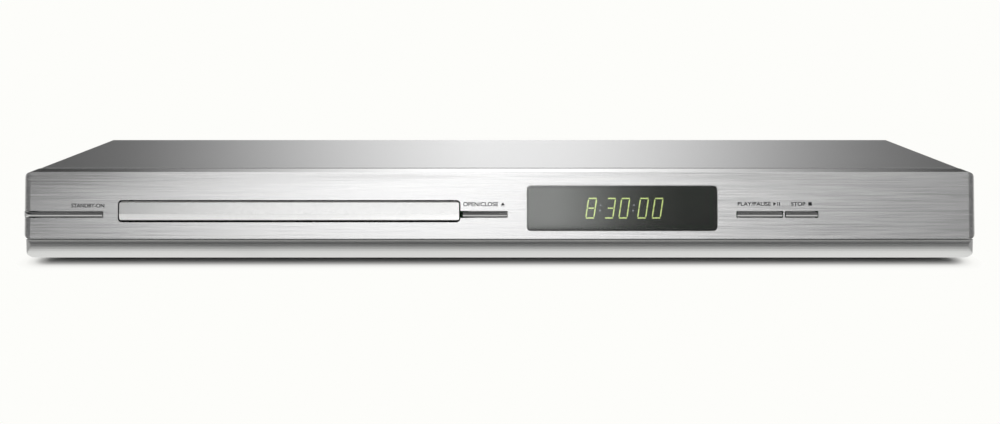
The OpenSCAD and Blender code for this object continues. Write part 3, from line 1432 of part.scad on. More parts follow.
chassis_pan();
rear_panel();
top_cover();
front_frame();
front_plate();
lower_trim();
display_window();
front_board();
display_tube();
tact_switches();
main_board();
main_chips();
chip_heatsink();
power_board();
transformer();
power_capacitors();
power_heatsink();
mains_inlet();
inlet_pins();
jack_block();
jack_shells();
jack_inserts();
scart_socket();
feet();
screws();
ribbons();
power_harness();
loader_frame();
loader_walls();
loader_rails();
loader_mounts();
clamper_bridge();
loading_motor();
drive_belt();
disc_tray();
tray_door();
tray_gear();
pulley_gear();
motor_pulley();
cam_slider();
traverse_frame();
spindle_motor();
guide_rods();
sled_motor();
turntable();
pickup_body();
sled_rack();
feed_gear();
sled_pinion();
objective_lens();
clamper_puck();
clamp_magnet();
standby_key();
open_key();
play_key();
stop_key();
plunger(0);  // standby_plunger
plunger(1);  // open_plunger
plunger(2);  // play_plunger
plunger(3);  // stop_plunger
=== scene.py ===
# %% [markdown]
# # A slim disc player, dressed in Blender
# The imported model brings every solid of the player, from the folded cover down to the gears under
# the tray. This lesson gives each of them the finish that its maker would give it, adds the thin
# things that are printed, soldered or lit, and sets up a small studio round it.
# Everything is in metres, +Z is up and the front of the player faces -Y.

# %% Load the frame
import json
import math
import random

import bmesh
import bpy
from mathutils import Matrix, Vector


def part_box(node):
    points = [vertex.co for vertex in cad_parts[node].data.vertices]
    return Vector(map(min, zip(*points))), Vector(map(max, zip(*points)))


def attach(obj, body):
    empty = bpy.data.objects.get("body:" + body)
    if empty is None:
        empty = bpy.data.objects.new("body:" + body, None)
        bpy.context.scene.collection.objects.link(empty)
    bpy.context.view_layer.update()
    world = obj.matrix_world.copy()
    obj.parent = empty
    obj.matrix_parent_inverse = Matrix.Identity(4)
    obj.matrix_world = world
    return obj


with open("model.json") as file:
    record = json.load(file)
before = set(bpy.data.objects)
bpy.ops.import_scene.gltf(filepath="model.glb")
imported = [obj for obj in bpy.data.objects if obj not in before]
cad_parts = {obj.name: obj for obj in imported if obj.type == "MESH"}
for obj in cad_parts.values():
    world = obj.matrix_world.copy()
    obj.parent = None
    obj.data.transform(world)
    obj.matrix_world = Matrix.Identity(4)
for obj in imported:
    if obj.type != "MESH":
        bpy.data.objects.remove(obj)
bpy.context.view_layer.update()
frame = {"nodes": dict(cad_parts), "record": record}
nodes = frame["nodes"]
MM = 0.001
print("CAD nodes:", len(nodes))

# %% [markdown]
# ## Camera
# The player is seen from a little above, square on, with a long lens, as a catalogue shows it.
# A long lens far away keeps the two ends of the front almost parallel. The height, the tilt and
# the focal length were found by fitting the corners of the front and of the cover.

# %% Camera
SENSOR_W = 36.0
IMAGE_W = 1000
FOCAL_PX = 2293.2
CAMERA_AT = (0.0, -1.1588, 0.1254)
SHIFT_X = 0.0004                  # share of the image's width
TILT_DOWN = math.radians(5.514)

camera_data = bpy.data.cameras.new("camera")
camera_data.sensor_width = SENSOR_W
camera_data.lens = FOCAL_PX * SENSOR_W / IMAGE_W
camera_data.shift_x = SHIFT_X
camera_data.clip_end = 100
camera = bpy.data.objects.new("camera", camera_data)
camera.location = CAMERA_AT
camera.rotation_euler = (math.radians(90) - TILT_DOWN, 0, 0)
bpy.context.scene.collection.objects.link(camera)
bpy.context.scene.camera = camera
bpy.context.scene.view_settings.view_transform = "Standard"
print("lens mm:", round(camera_data.lens, 1))

# %% [markdown]
# ## Small tools for materials
# Colours are written as they look on a screen, in sRGB hex, and one function turns them to the
# linear values that a renderer works in. One more function adds a node with its settings and its
# links, so that each material below reads as a list of what happens to its surface.

# %% Colour and node tools
def linear(hex_colour):
    """sRGB hex to linear RGBA."""
    parts = [int(hex_colour[i:i + 2], 16) / 255 for i in (1, 3, 5)]
    return tuple(c / 12.92 if c <= 0.04045 else ((c + 0.055) / 1.055) ** 2.4 for c in parts) + (1.0,)


def set_inputs(material, node, *values, **named):
    """Sets a node's inputs, in order or by name. Nodes and sockets are linked, the rest are values."""
    pairs = list(zip(node.inputs, values))
    for name, value in named.items():
        label = name.replace("_", " ")
        pairs.append((next(s for s in node.inputs if s.enabled and s.name == label), value))
    for socket, value in pairs:
        if isinstance(value, bpy.types.Node):
            value = value.outputs[0]
        if isinstance(value, bpy.types.NodeSocket):
            material.node_tree.links.new(value, socket)
        else:
            socket.default_value = value


def add_node(material, kind, *values, stops=(), **named):
    """Adds a node. Lower-case names are its settings, capitalised ones its inputs, stops its colours."""
    node = material.node_tree.nodes.new("ShaderNode" + kind)
    for name in [n for n in named if n[0].islower()]:
        setattr(node, name, named.pop(name))
    if stops:
        elements = node.color_ramp.elements
        elements[0].position, elements[1].position = stops[0][0], stops[-1][0]
        for position, colour in stops[1:-1]:
            elements.new(position)
        for element, (position, colour) in zip(elements, stops):
            element.color = linear(colour)
    set_inputs(material, node, *values, **named)
    return node


def new_material(name, **inputs):
    """A material with one Principled shader, whose uniform values sit on its own sockets."""
    material = bpy.data.materials.new(name)
    material.use_nodes = True
    shader = material.node_tree.nodes["Principled BSDF"]
    set_inputs(material, shader, **inputs)
    return material, shader


def in_mm(material, x=1.0, y=1.0, z=1.0):
    """Coordinates of the object in which x, y and z millimetres count as one unit."""
    return add_node(material, "Mapping", add_node(material, "TexCoord").outputs["Object"],
                    Scale=(1 / (x * MM), 1 / (y * MM), 1 / (z * MM)))


print("white in linear:", linear("#ffffff")[:3])

# %% [markdown]
# ## Brushed aluminium front
# The front plate is anodised aluminium that was brushed from end to end with an abrasive belt.
# The belt leaves thousands of fine grooves along the length. They spread a reflection across
# them, so a lamp becomes a tall soft band of light. That spread is the shader's anisotropy, and
# the grooves show as streaks that are long along X and hair-thin up the face.

# %% Brushed aluminium
def brushed_aluminium():
    metal, shader = new_material("brushed_anodised_aluminium", Metallic=1.0, Anisotropic=0.6)
    # real grooves are 0.02 to 0.1 mm apart; the finest drawn here are 0.25 mm, so that they show
    fine = add_node(metal, "TexNoise", in_mm(metal, 40, 1, 0.25), Scale=1.0, Detail=4.0, Roughness=0.65)
    broad = add_node(metal, "TexNoise", in_mm(metal, 34, 1, 0.55), Scale=1.0, Detail=3.0, Roughness=0.6)
    streaks = add_node(metal, "Math", add_node(metal, "Math", fine, broad, operation="ADD"), 0.5,
                       operation="MULTIPLY")
    tint = add_node(metal, "ValToRGB", streaks,
                    stops=[(0.34, "#d2d2d2"), (0.5, "#eaeaea"), (0.66, "#fafaf9")])
    groove = add_node(metal, "Bump", Height=streaks, Strength=0.25, Distance=0.01 * MM)
    along = add_node(metal, "Tangent", direction_type="RADIAL", axis="Z")
    set_inputs(metal, shader, Base_Color=tint, Normal=groove, Tangent=along,
               Roughness=add_node(metal, "MapRange", streaks, 0.3, 0.7, 0.18, 0.28))
    return metal


finishes = {"brushed_plate": brushed_aluminium()}
print("made", finishes["brushed_plate"].name)

# %% [markdown]
# ## Silver paint, on steel and on plastic
# The cover is steel with a baked silver coat; the trim, the keys and the tray door are ABS
# mouldings with a similar lacquer. Such paint is clear lacquer full of tiny aluminium flakes that
# lie almost flat. To the eye it is a soft metal with a very fine sparkle, and from close by the
# sprayed coat has a slight orange peel.

# %% Silver paint
def silver_paint(name, dark, light, roughness, peel_mm):
    paint, shader = new_material(name, Metallic=0.92)
    # real flakes are 0.02 mm; they are drawn 0.2 mm, so that their sparkle shows
    flakes = add_node(paint, "TexVoronoi", in_mm(paint, 0.2, 0.2, 0.2), Scale=1.0)
    peel = add_node(paint, "TexNoise", in_mm(paint, peel_mm, peel_mm, peel_mm), Scale=1.0, Detail=2.0)
    set_inputs(paint, shader,
               Base_Color=add_node(paint, "ValToRGB", flakes, stops=[(0.1, light), (0.8, dark)]),
               Roughness=add_node(paint, "MapRange", peel, 0.3, 0.7, roughness - 0.015, roughness + 0.015),
               Normal=add_node(paint, "Bump", Height=peel, Strength=0.1, Distance=0.008 * MM))
    return paint


finishes["silver_paint"] = silver_paint("baked_silver_coat_on_steel", "#c4c4c4", "#d4d4d4", 0.3, 1.6)
finishes["silver_plastic"] = silver_paint("silver_lacquer_on_abs", "#e1e1e0", "#efefee", 0.2, 1.1)
print("silver finishes:", len(finishes))

# %% [markdown]
# ## Sheet steel, turned steel and other bare metals
# The chassis and the rear panel are zinc-plated sheet, with the faint cloudy patches that zinc
# crystals leave. Screws and motor cans are plain or nickel-plated steel with marks from rolling
# and turning. A metal's colour is its reflection, so each has a base colour and a grain only.

# %% Bare metals
def zinc_plate():
    metal, shader = new_material("zinc_plated_sheet_steel", Metallic=1.0)
    clouds = add_node(metal, "TexVoronoi", in_mm(metal, 9, 9, 9), Scale=1.0)  # spangles of 9 mm
    grain = add_node(metal, "TexNoise", in_mm(metal, 10, 0.5, 0.5), Scale=1.0, Detail=4.0)
    set_inputs(metal, shader,
               Base_Color=add_node(metal, "ValToRGB", clouds.outputs["Color"],
                                   stops=[(0.2, "#bcc0c2"), (0.8, "#c9ccce")]),
               Roughness=add_node(metal, "MapRange", grain, 0.3, 0.7, 0.3, 0.42))
    return metal


def worked_metal(name, dark, light, roughness, mark_mm=0.4, run_mm=0.4):
    """Marks of the tool are mark_mm across and run_mm long, upwards."""
    metal, shader = new_material(name, Metallic=1.0)
    marks = add_node(metal, "TexNoise", in_mm(metal, mark_mm, mark_mm, run_mm), Scale=1.0, Detail=5.0)
    set_inputs(metal, shader,
               Base_Color=add_node(metal, "ValToRGB", marks, stops=[(0.3, dark), (0.7, light)]),
               Roughness=add_node(metal, "MapRange", marks, 0.3, 0.7, roughness * 0.8, roughness * 1.2))
    return metal


finishes["steel_sheet"] = zinc_plate()
finishes["brushed_steel"] = worked_metal("plain_turned_steel", "#8e9194", "#b6b9bb", 0.33)
finishes["bright_steel"] = worked_metal("nickel_plated_steel", "#c9c8c4", "#dddcd8", 0.16)
finishes["aluminium"] = worked_metal("extruded_aluminium", "#b4b7b9", "#ced0d1", 0.32, 0.5, 16.0)
finishes["brass"] = worked_metal("turned_brass", "#b5924a", "#cfae62", 0.25)
finishes["magnet"] = worked_metal("sintered_ferrite", "#3a3c3f", "#505357", 0.6, 0.2, 0.2)
print("finishes so far:", sorted(finishes))

# %% [markdown]
# ## Moulded plastics and rubber
# Injection moulded ABS and acetal copy the fine sparked texture of their mould. It breaks up the
# gloss into a dull, even sheen. Each plastic gets its colour, a slight variation of it, and that
# texture as a shallow bump, about 0.3 mm from bump to bump.

# %% Moulded plastics
def moulded(name, dark, light, roughness, grain_mm=0.3, depth_mm=0.015, ior=1.5):
    plastic, shader = new_material(name, IOR=ior)
    grain = add_node(plastic, "TexNoise", in_mm(plastic, grain_mm, grain_mm, grain_mm), Scale=1.0, Detail=3.0)
    flow = add_node(plastic, "TexNoise", in_mm(plastic, 14, 14, 14), Scale=1.0, Detail=2.0)
    set_inputs(plastic, shader,
               Base_Color=add_node(plastic, "ValToRGB", flow, stops=[(0.3, dark), (0.7, light)]),
               Roughness=add_node(plastic, "MapRange", grain, 0.3, 0.7, roughness - 0.06, roughness + 0.06),
               Normal=add_node(plastic, "Bump", Height=grain, Strength=0.6, Distance=depth_mm * MM))
    return plastic


finishes["black_plastic"] = moulded("black_abs", "#1d1e20", "#26272a", 0.44)
finishes["grey_plastic"] = moulded("grey_abs", "#4a4c50", "#575a5e", 0.48)
finishes["ivory_plastic"] = moulded("natural_acetal", "#ddd6c0", "#e8e2cf", 0.36, 0.5, 0.006, 1.48)
finishes["rubber"] = moulded("matte_rubber", "#1b1b1c", "#272728", 0.78, 0.4, 0.03, 1.52)
finishes["lens_plastic"] = moulded("lens_holder_resin", "#3b4a78", "#54649a", 0.18, 0.6, 0.002, 1.53)
finishes["capacitor_sleeve"] = moulded("shrink_sleeve_pvc", "#1d2740", "#28345a", 0.26, 1.2, 0.01, 1.54)
finishes["wire_sleeve"] = moulded("wire_sleeve_pvc", "#9c2a20", "#b23a2e", 0.32, 0.9, 0.005, 1.54)
finishes["transformer_tape"] = moulded("yellow_polyester_tape", "#c9a53a", "#dcb94a", 0.3, 2.5, 0.02, 1.6)
print("finishes so far:", len(finishes))

# %% [markdown]
# ## Smoked window and display glass
# The window is a polished sheet of smoked acrylic. It lets a quarter of the light in and as much
# out again, so only what glows behind it is seen, and its hard coat mirrors the room. The display
# behind it is a sealed glass tube, almost black until its phosphor is lit.

# %% Window and glass
def smoked_acrylic():
    sheet, shader = new_material("smoked_acrylic", Roughness=0.03, IOR=1.49, Transmission_Weight=0.86,
                                 Coat_Weight=1.0, Coat_Roughness=0.03, Coat_IOR=1.5)
    clouds = add_node(sheet, "TexNoise", in_mm(sheet, 30, 30, 30), Scale=1.0, Detail=1.0)
    set_inputs(sheet, shader, Base_Color=add_node(sheet, "ValToRGB", clouds,
                                                  stops=[(0.3, "#80867f"), (0.7, "#899088")]))
    return sheet


def tube_glass():
    glass, shader = new_material("display_tube_glass", Roughness=0.06, IOR=1.52)
    # the fine wires of the grid, 0.5 mm apart in front of the phosphor; a wave repeats every 0.314 / Scale
    grid = add_node(glass, "TexWave", in_mm(glass), Scale=0.63, bands_direction="X")
    set_inputs(glass, shader, Base_Color=add_node(glass, "ValToRGB", grid,
                                                  stops=[(0.2, "#565b52"), (0.9, "#686d63")]))
    return glass


finishes["smoked_window"] = smoked_acrylic()
finishes["display_glass"] = tube_glass()

# %% [markdown]
# ## Circuit boards, ribbons and jack inserts
# The main and the display board are glass fibre under green solder mask, through which the copper
# runs show a little lighter. The power board is brown phenolic paper. Ribbon cable is white film
# with a tinned conductor every 1.25 mm, and each jack's insert has the colour of its signal.

# %% Boards, ribbons and inserts
def circuit_board():
    board, shader = new_material("green_solder_mask", IOR=1.55)
    place = add_node(board, "SeparateXYZ", in_mm(board))
    # boards lie flat or stand up, so Y and Z are added to give one height on either
    up = add_node(board, "Math", place.outputs["Y"], place.outputs["Z"], operation="ADD")
    flat = add_node(board, "CombineXYZ", place.outputs["X"], up)
    runs = add_node(board, "TexBrick", flat, Scale=1.0, Mortar_Size=0.22, Brick_Width=7.0, Row_Height=1.27,
                    Color1=linear("#1d6138"), Color2=linear("#216b3e"), Mortar=linear("#4a9a5a"))
    set_inputs(board, shader, Base_Color=runs,
               Roughness=add_node(board, "MapRange", runs.outputs["Fac"], 0.0, 1.0, 0.34, 0.24),
               Normal=add_node(board, "Bump", Height=runs.outputs["Fac"], Strength=0.6, Distance=0.035 * MM))
    return board


def ribbon_film():
    film, shader = new_material("ribbon_film_polyester", IOR=1.6, Roughness=0.3)
    # a conductor every 1.25 mm
    conductors = add_node(film, "TexWave", in_mm(film), Scale=0.251, bands_direction="X")
    set_inputs(film, shader, Base_Color=add_node(film, "ValToRGB", conductors,
                                                 stops=[(0.35, "#e4e5e2"), (0.6, "#b9bbba")]))
    return film


JACKS_X = (46.0, 106.0)           # left and right end of the jacks, in mm


def jack_inserts():
    """One colour for each column of jacks, told apart by how far to the right it lies."""
    insert, shader = new_material("dyed_jack_insert_abs", IOR=1.5, Roughness=0.36)
    across = add_node(insert, "SeparateXYZ", in_mm(insert))
    share = add_node(insert, "MapRange", across.outputs["X"], *JACKS_X)
    colours = add_node(insert, "ValToRGB", share,
                       stops=[(0.0, "#d8b23a"), (0.23, "#dcdcd6"), (0.47, "#b23028"), (0.7, "#d2762c")])
    colours.color_ramp.interpolation = "CONSTANT"
    set_inputs(insert, shader, Base_Color=colours)
    return insert


finishes["circuit_board"] = circuit_board()
finishes["paper_board"] = moulded("brown_phenolic_paper", "#8d6a3c", "#a27d4b", 0.42, 0.8, 0.01, 1.55)
finishes["ribbon_film"] = ribbon_film()
finishes["jack_plastic"] = jack_inserts()
print("finishes in all:", len(finishes))

# %% [markdown]
# ## The finishes go on
# The record of the model names a finish for every solid. Two kinds of piece get one of their own:
# the trim was sprayed with the same lacquer as the door, but satin, so that it shows no sharp
# reflection, and the keys were polished before it, so that their two facets part into dark and bright.

# %% Put each finish on its nodes
KEYS = ("standby_key", "open_key", "play_key", "stop_key")
own_finish = {"lower_trim": silver_paint("satin_silver_lacquer_on_abs", "#e2e3e3", "#eeeeee", 0.4, 1.1)}
polished = silver_paint("polished_silver_lacquer_on_abs", "#e4e5e5", "#f0f0f0", 0.16, 1.4)
own_finish.update(dict.fromkeys(KEYS, polished))
for part in frame["record"]["subparts"]:
    skin = nodes[part["node"]].data.materials
    skin.clear()
    skin.append(own_finish.get(part["node"], finishes[part["material_slot"]]))
print("own finishes:", sorted(own_finish))

# %% [markdown]
# ## Softened edges
# No moulded or folded edge is razor sharp, and the thin bright line along an edge is what tells
# the eye so. A Bevel modifier rounds the edges of the pieces that show. The imported meshes are
# split along their sharp edges, so a Weld comes first, and a Weighted Normal keeps the flats flat.

# %% Soften edges
ROUNDED = {"tray_door": 0.2, "top_cover": 0.25, **dict.fromkeys(KEYS, 0.12)}     # radius in mm
for name, radius_mm in ROUNDED.items():
    nodes[name].modifiers.new("join", "WELD").merge_threshold = 0.001 * MM
    round_over = nodes[name].modifiers.new("round", "BEVEL")
    round_over.width = radius_mm * MM
    round_over.segments = 2
    round_over.limit_method = "ANGLE"
    round_over.angle_limit = math.radians(35)
    nodes[name].modifiers.new("shade", "WEIGHTED_NORMAL").keep_sharp = True
print("rounded:", len(ROUNDED))

# %% [markdown]
# ## Marks on the front
# Small capitals and signs are screen printed above each key in dark grey. They are made as thin
# raised ink on the leaning face, because that is what they are: a film about 0.03 mm thick.
# A point on the face is given in millimetres: u across from the middle, v up from its lower edge.

# %% Places on the leaning face
LEAN = math.radians(9)
FACE_FOOT = Vector((0, -117.5, 12.6))
FACE_UP = Vector((0, math.sin(LEAN), math.cos(LEAN)))
FACE_OUT = Vector((0, -math.cos(LEAN), math.sin(LEAN)))
INK_MM = 0.03


def on_face(u, v, proud):
    return (FACE_FOOT + Vector((u, 0, 0)) + FACE_UP * v + FACE_OUT * proud) * MM


def new_piece(name, mesh, material, body):
    """Links a mesh as a piece that rides on a body and takes its finish from a slot."""
    mesh.materials.clear()
    mesh.materials.append(material)
    piece = bpy.data.objects.new(name, mesh)
    bpy.context.scene.collection.objects.link(piece)
    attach(piece, body)
    return piece


def prism(form, near, far):
    """Adds the solid between two outlines with the same number of corners."""
    near = [form.verts.new(point) for point in near]
    far = [form.verts.new(point) for point in far]
    form.faces.new(near)
    form.faces.new(far[::-1])
    for i in range(len(near)):
        j = (i + 1) % len(near)
        form.faces.new((far[i], far[j], near[j], near[i]))


def form_piece(name, form, material):
    """Turns a finished form into a piece that stays with the housing."""
    mesh = bpy.data.meshes.new(name)
    form.to_mesh(mesh)
    form.free()
    return new_piece(name, mesh, material, "housing")


def printing_ink():
    ink, shader = new_material("dark_screen_printing_ink", IOR=1.5)
    speckle = add_node(ink, "TexNoise", in_mm(ink, 0.2, 0.2, 0.2), Scale=1.0, Detail=2.0)
    set_inputs(ink, shader,
               Base_Color=add_node(ink, "ValToRGB", speckle, stops=[(0.3, "#1e2022"), (0.7, "#2a2c2f")]),
               Roughness=add_node(ink, "MapRange", speckle, 0.3, 0.7, 0.45, 0.6))
    return ink


ink = printing_ink()
print("face top is at", [round(c, 4) for c in on_face(0, 30.2, 0)])

# %% Printed words
def words(name, text, left, right, foot, top):
    """Text in capitals, fitted between left and right, foot and top on the face, in mm."""
    curve = bpy.data.curves.new(name, "FONT")
    curve.body = text
    curve.extrude = 0.01
    curve.offset = 0.022              # letters this small are printed bold
    holder = bpy.data.objects.new(name + "_curve", curve)
    bpy.context.scene.collection.objects.link(holder)
    bpy.context.view_layer.update()
    mesh = bpy.data.meshes.new_from_object(holder.evaluated_get(bpy.context.evaluated_depsgraph_get()))
    bpy.data.objects.remove(holder)
    low = [min(v.co[i] for v in mesh.vertices) for i in range(3)]
    high = [max(v.co[i] for v in mesh.vertices) for i in range(3)]
    for v in mesh.vertices:
        part = [(v.co[i] - low[i]) / (high[i] - low[i]) for i in range(3)]
        v.co = on_face(left + part[0] * (right - left), foot + part[1] * (top - foot), part[2] * INK_MM)
    return new_piece(name, mesh, ink, "housing")


def signs(name, outlines):
    """Plain shapes, each a list of (u, v) corners in anticlockwise order."""
    form = bmesh.new()
    for outline in outlines:
        prism(form, [on_face(u, v, INK_MM) for u, v in outline], [on_face(u, v, 0) for u, v in outline])
    return form_piece(name, form, ink)


def bar(left, foot, right, top):
    return [(left, foot), (right, foot), (right, top), (left, top)]


words("mark_standby", "STANDBY-ON", -195.8, -180.7, 14.25, 16.1)
words("mark_open", "OPEN/CLOSE", -16.6, -0.7, 14.85, 16.8)
words("mark_play", "PLAY/PAUSE", 108.8, 124.0, 15.05, 16.85)
words("mark_stop", "STOP", 133.25, 139.85, 15.05, 16.85)
signs("sign_open", [[(0.6, 15.4), (2.4, 15.4), (1.5, 16.7)], bar(0.6, 14.9, 2.4, 15.15)])
signs("sign_play", [[(125.1, 15.1), (126.5, 15.95), (125.1, 16.8)]])
signs("sign_pause", [bar(126.9, 15.1, 127.3, 16.8), bar(127.7, 15.1, 128.1, 16.8)])
signs("sign_stop", [bar(141.1, 15.15, 142.7, 16.75)])

# %% [markdown]
# ## Printed rim of the window
# A display window is printed black along its edge, on its inner side, so that nobody sees the
# ledge that it is glued to. The print is made as a flat ring with rounded corners, a tenth of a
# millimetre thick, set into the back of the acrylic.

# %% Window rim
WINDOW = (12.4, 3.645, 99.6, 24.245)          # left, foot, right and top on the face, in mm
RIM_DEPTH = (-2.02, -2.12)                    # front and back of the print, behind the face
RIM_W = 1.0
RIM_INSET = 0.15                              # between the window's edge and the print
RIM_RADII = (1.25, 0.5)                       # outer and inner corner


def rounded(inset, radius, steps=5):
    """Corners of the window's outline, drawn in by inset and rounded, in anticlockwise order."""
    left, foot, right, top = (WINDOW[0] + inset, WINDOW[1] + inset, WINDOW[2] - inset, WINDOW[3] - inset)
    middles = [(right - radius, foot + radius), (right - radius, top - radius),
               (left + radius, top - radius), (left + radius, foot + radius)]
    return [(u + radius * math.cos(a), v + radius * math.sin(a))
            for k, (u, v) in enumerate(middles)
            for a in (math.radians(90 * (k - 1 + i / steps)) for i in range(steps + 1))]


def window_ring():
    form = bmesh.new()
    loops = [[form.verts.new(on_face(u, v, depth)) for u, v in rounded(inset, radius)]
             for depth in RIM_DEPTH for inset, radius in zip((RIM_INSET, RIM_INSET + RIM_W), RIM_RADII)]
    outer_front, inner_front, outer_back, inner_back = loops
    for a, b in ((outer_front, inner_front), (inner_front, inner_back), (inner_back, outer_back),
                 (outer_back, outer_front)):
        for i in range(len(a)):
            j = (i + 1) % len(a)
            form.faces.new((a[i], a[j], b[j], b[i]))
    bmesh.ops.recalc_face_normals(form, faces=form.faces)
    return form_piece("window_rim", form, ink)


print("rim faces:", len(window_ring().data.polygons))

# %% [markdown]
# ## Lit digits
# The display is a vacuum tube whose phosphor strips glow blue-green; the smoked window turns that
# to yellow-green. Each figure is made of up to seven thin strips, leaning to the right. They lie
# on the tube's front as strips 0.1 mm thick, and a strip that is off isn't seen, so isn't made.

# %% Figures of seven strips
DIGIT_Z = (21.0, 30.6)
STRIP_MM = 0.58
STRIP_GAP = 0.28                  # between the end of one strip and the next
STRIP_DEEP = 0.1
SLANT = 0.14                      # mm to the right for each mm up
TUBE_FACE_Y = -109.2
LIT = {"0": "abcdef", "3": "abcdg", "8": "abcdefg"}


def phosphor(name, glow, strength):
    strip, shader = new_material(name, Base_Color=linear("#20281c"), Roughness=0.5,
                                 Emission_Strength=strength)
    grain = add_node(strip, "TexNoise", in_mm(strip, 0.25, 0.25, 0.25), Scale=1.0, Detail=2.0)
    set_inputs(strip, shader,
               Emission_Color=add_node(strip, "ValToRGB", grain, stops=[(0.3, glow[0]), (0.7, glow[1])]))
    return strip


def strips(digit, left, right):
    """Corners of each lit strip of one figure, upright, as lists of (x, z) in mm."""
    low, high = DIGIT_Z
    width = right - left - SLANT * (high - low)
    mid, t, gap = (low + high) / 2, STRIP_MM, STRIP_GAP
    bars = {"a": (0, high - t, width, high), "d": (0, low, width, low + t),
            "g": (t, mid - t / 2, width - t, mid + t / 2)}
    posts = {"f": (0, mid), "b": (width - t, mid), "e": (0, low), "c": (width - t, low)}
    shapes = []
    for key in LIT[digit]:
        if key in bars:
            x0, z0, x1, z1 = bars[key]
            x0, x1 = (x0 + gap, x1 - gap)
        else:
            x0, z0 = posts[key]
            x1, z1 = x0 + t, z0 + (high - low) / 2
            z0, z1 = (z0 + gap / 2, z1 - t - gap) if z0 == mid else (z0 + t + gap, z1 - gap / 2)
        shapes.append([(x0, z0), (x1, z0), (x1, z1), (x0, z1)])
    return [[(left + x + SLANT * (z - low), z) for x, z in shape] for shape in shapes]


def lay_on_tube(name, shapes, material):
    form = bmesh.new()
    for shape in shapes:
        near, far = [[(x * MM, (TUBE_FACE_Y - out) * MM, z * MM) for x, z in shape]
                     for out in (STRIP_DEEP, 0)]
        prism(form, near, far)
    return form_piece(name, form, material)


lit_phosphor = phosphor("lit_zinc_oxide_phosphor", ("#a9b560", "#d3da9c"), 6.5)
dim_phosphor = phosphor("dim_phosphor", ("#9c97a8", "#b4afc0"), 3.6)
FIGURES = [("8", 39.3, 44.9), ("3", 48.2, 53.6), ("0", 54.5, 60.1), ("0", 63.1, 68.7), ("0", 69.8, 75.4)]
for number, (digit, left, right) in enumerate(FIGURES):
    lay_on_tube(f"figure_{number}", strips(digit, left, right), lit_phosphor)


def dot(x, z, radius, corners=12):
    turn = [2 * math.pi * i / corners for i in range(corners)]
    return [(x + radius * math.cos(a), z + radius * math.sin(a)) for a in turn]


for number, x in enumerate((46.4, 61.7)):
    lay_on_tube(f"colon_{number}", [dot(x, 27.15, 0.4), dot(x - 0.35, 24.65, 0.4)], dim_phosphor)
print("figures:", "".join(f[0] for f in FIGURES))

# %% [markdown]
# ## Leads and small parts on the main board
# Each package on the main board stands on two or four rows of bent leads, 0.8 mm apart, and round
# the packages the board carries dozens of tiny resistors and capacitors. They are too small for
# the solid model, but a board without them looks like a toy. One bent profile is swept to the
# width of a lead and repeated, and the small parts are scattered with a fixed seed.

# %% Leads of the packages
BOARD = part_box("main_board")
BOARD_TOP = 11.4
# places and sizes of the packages from the board's front left corner, in mm: x, y, width, depth, height
PACKAGES = [(46, 46, 24, 24, 2.2), (20, 40, 18, 8, 1.6), (20, 54, 18, 8, 1.6), (84, 44, 12, 12, 1.8),
            (84, 62, 10, 7, 1.5), (28, 74, 9, 12, 1.8), (52, 14, 20, 6, 5), (4, 22, 6, 20, 5)]
LEADED = 6                        # the first six stand on leads, the last two are connectors
LEAD_PITCH, LEAD_W, LEAD_T = 0.8, 0.32, 0.14
ROW_ENDS = 1.6                    # length of a side that stays without leads


def lead(form, start, out, height):
    """One bent lead: start is where it leaves the package, out is the direction it goes in."""
    side = Vector((-out.y, out.x, 0)) * LEAD_W / 2
    bend = [(-0.1, height), (0.25, height), (0.45, LEAD_T), (0.95, LEAD_T), (0.95, 0.0), (0.35, 0.0),
            (0.15, height - LEAD_T), (-0.1, height - LEAD_T)]
    near, far = [[(start + out * r + half + Vector((0, 0, z))) * MM for r, z in bend]
                 for half in (side, -side)]
    prism(form, near, far)


corner = Vector((BOARD[0][0], BOARD[0][1], 0)) / MM
form = bmesh.new()
for x, y, width, depth, height in PACKAGES[:LEADED]:
    middle = corner + Vector((x, y, BOARD_TOP))
    sides = [(Vector((0, s, 0)), depth / 2, width) for s in (-1, 1)]
    if width == depth:
        sides += [(Vector((s, 0, 0)), width / 2, depth) for s in (-1, 1)]
    for out, reach, length in sides:
        count = int((length - ROW_ENDS) / LEAD_PITCH)
        along = Vector((-out.y, out.x, 0))
        for i in range(count + 1):
            lead(form, middle + out * reach + along * (i - count / 2) * LEAD_PITCH, out, height / 2)
bmesh.ops.recalc_face_normals(form, faces=form.faces)
leads = form_piece("chip_leads", form, finishes["bright_steel"])
print("lead faces:", len(leads.data.polygons))

# %% Small parts
SMALL_PARTS = 90
SMALL = (1.6, 0.8, 0.5)           # length, width and height of a common chip resistor or capacitor
SMALL_EDGE = 0.07                 # how much is taken off along its edges
APART = 2.6                       # room kept round each part and package
BOARD_EDGE = 8                    # room kept along the board's edges
random.seed(7)


def ceramic(name, body, end):
    """Ceramic chips with tinned ends, drawn as a fine cell pattern that mixes the body's colour and the tin's
    at random.
    """
    chip, shader = new_material(name, IOR=1.6, Roughness=0.35)
    cells = add_node(chip, "TexVoronoi", in_mm(chip, 1.2, 1.2, 1.2), Scale=1.0)
    set_inputs(chip, shader, Base_Color=add_node(chip, "ValToRGB", cells.outputs["Color"],
                                                 stops=[(0.45, body), (0.6, end)]))
    return chip


def taken(x, y):
    """True where a package, its leads or a taller part already stands on the board."""
    if any(abs(x - p[0]) < p[2] / 2 + APART and abs(y - p[1]) < p[3] / 2 + APART for p in PACKAGES):
        return True
    at = (corner + Vector((x, y, 0))) * MM
    edge = 2 * MM
    return any(low[0] - edge < at.x < high[0] + edge and low[1] - edge < at.y < high[1] + edge
               for low, high in map(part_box, ("jack_block", "scart_socket", "chip_heatsink")))


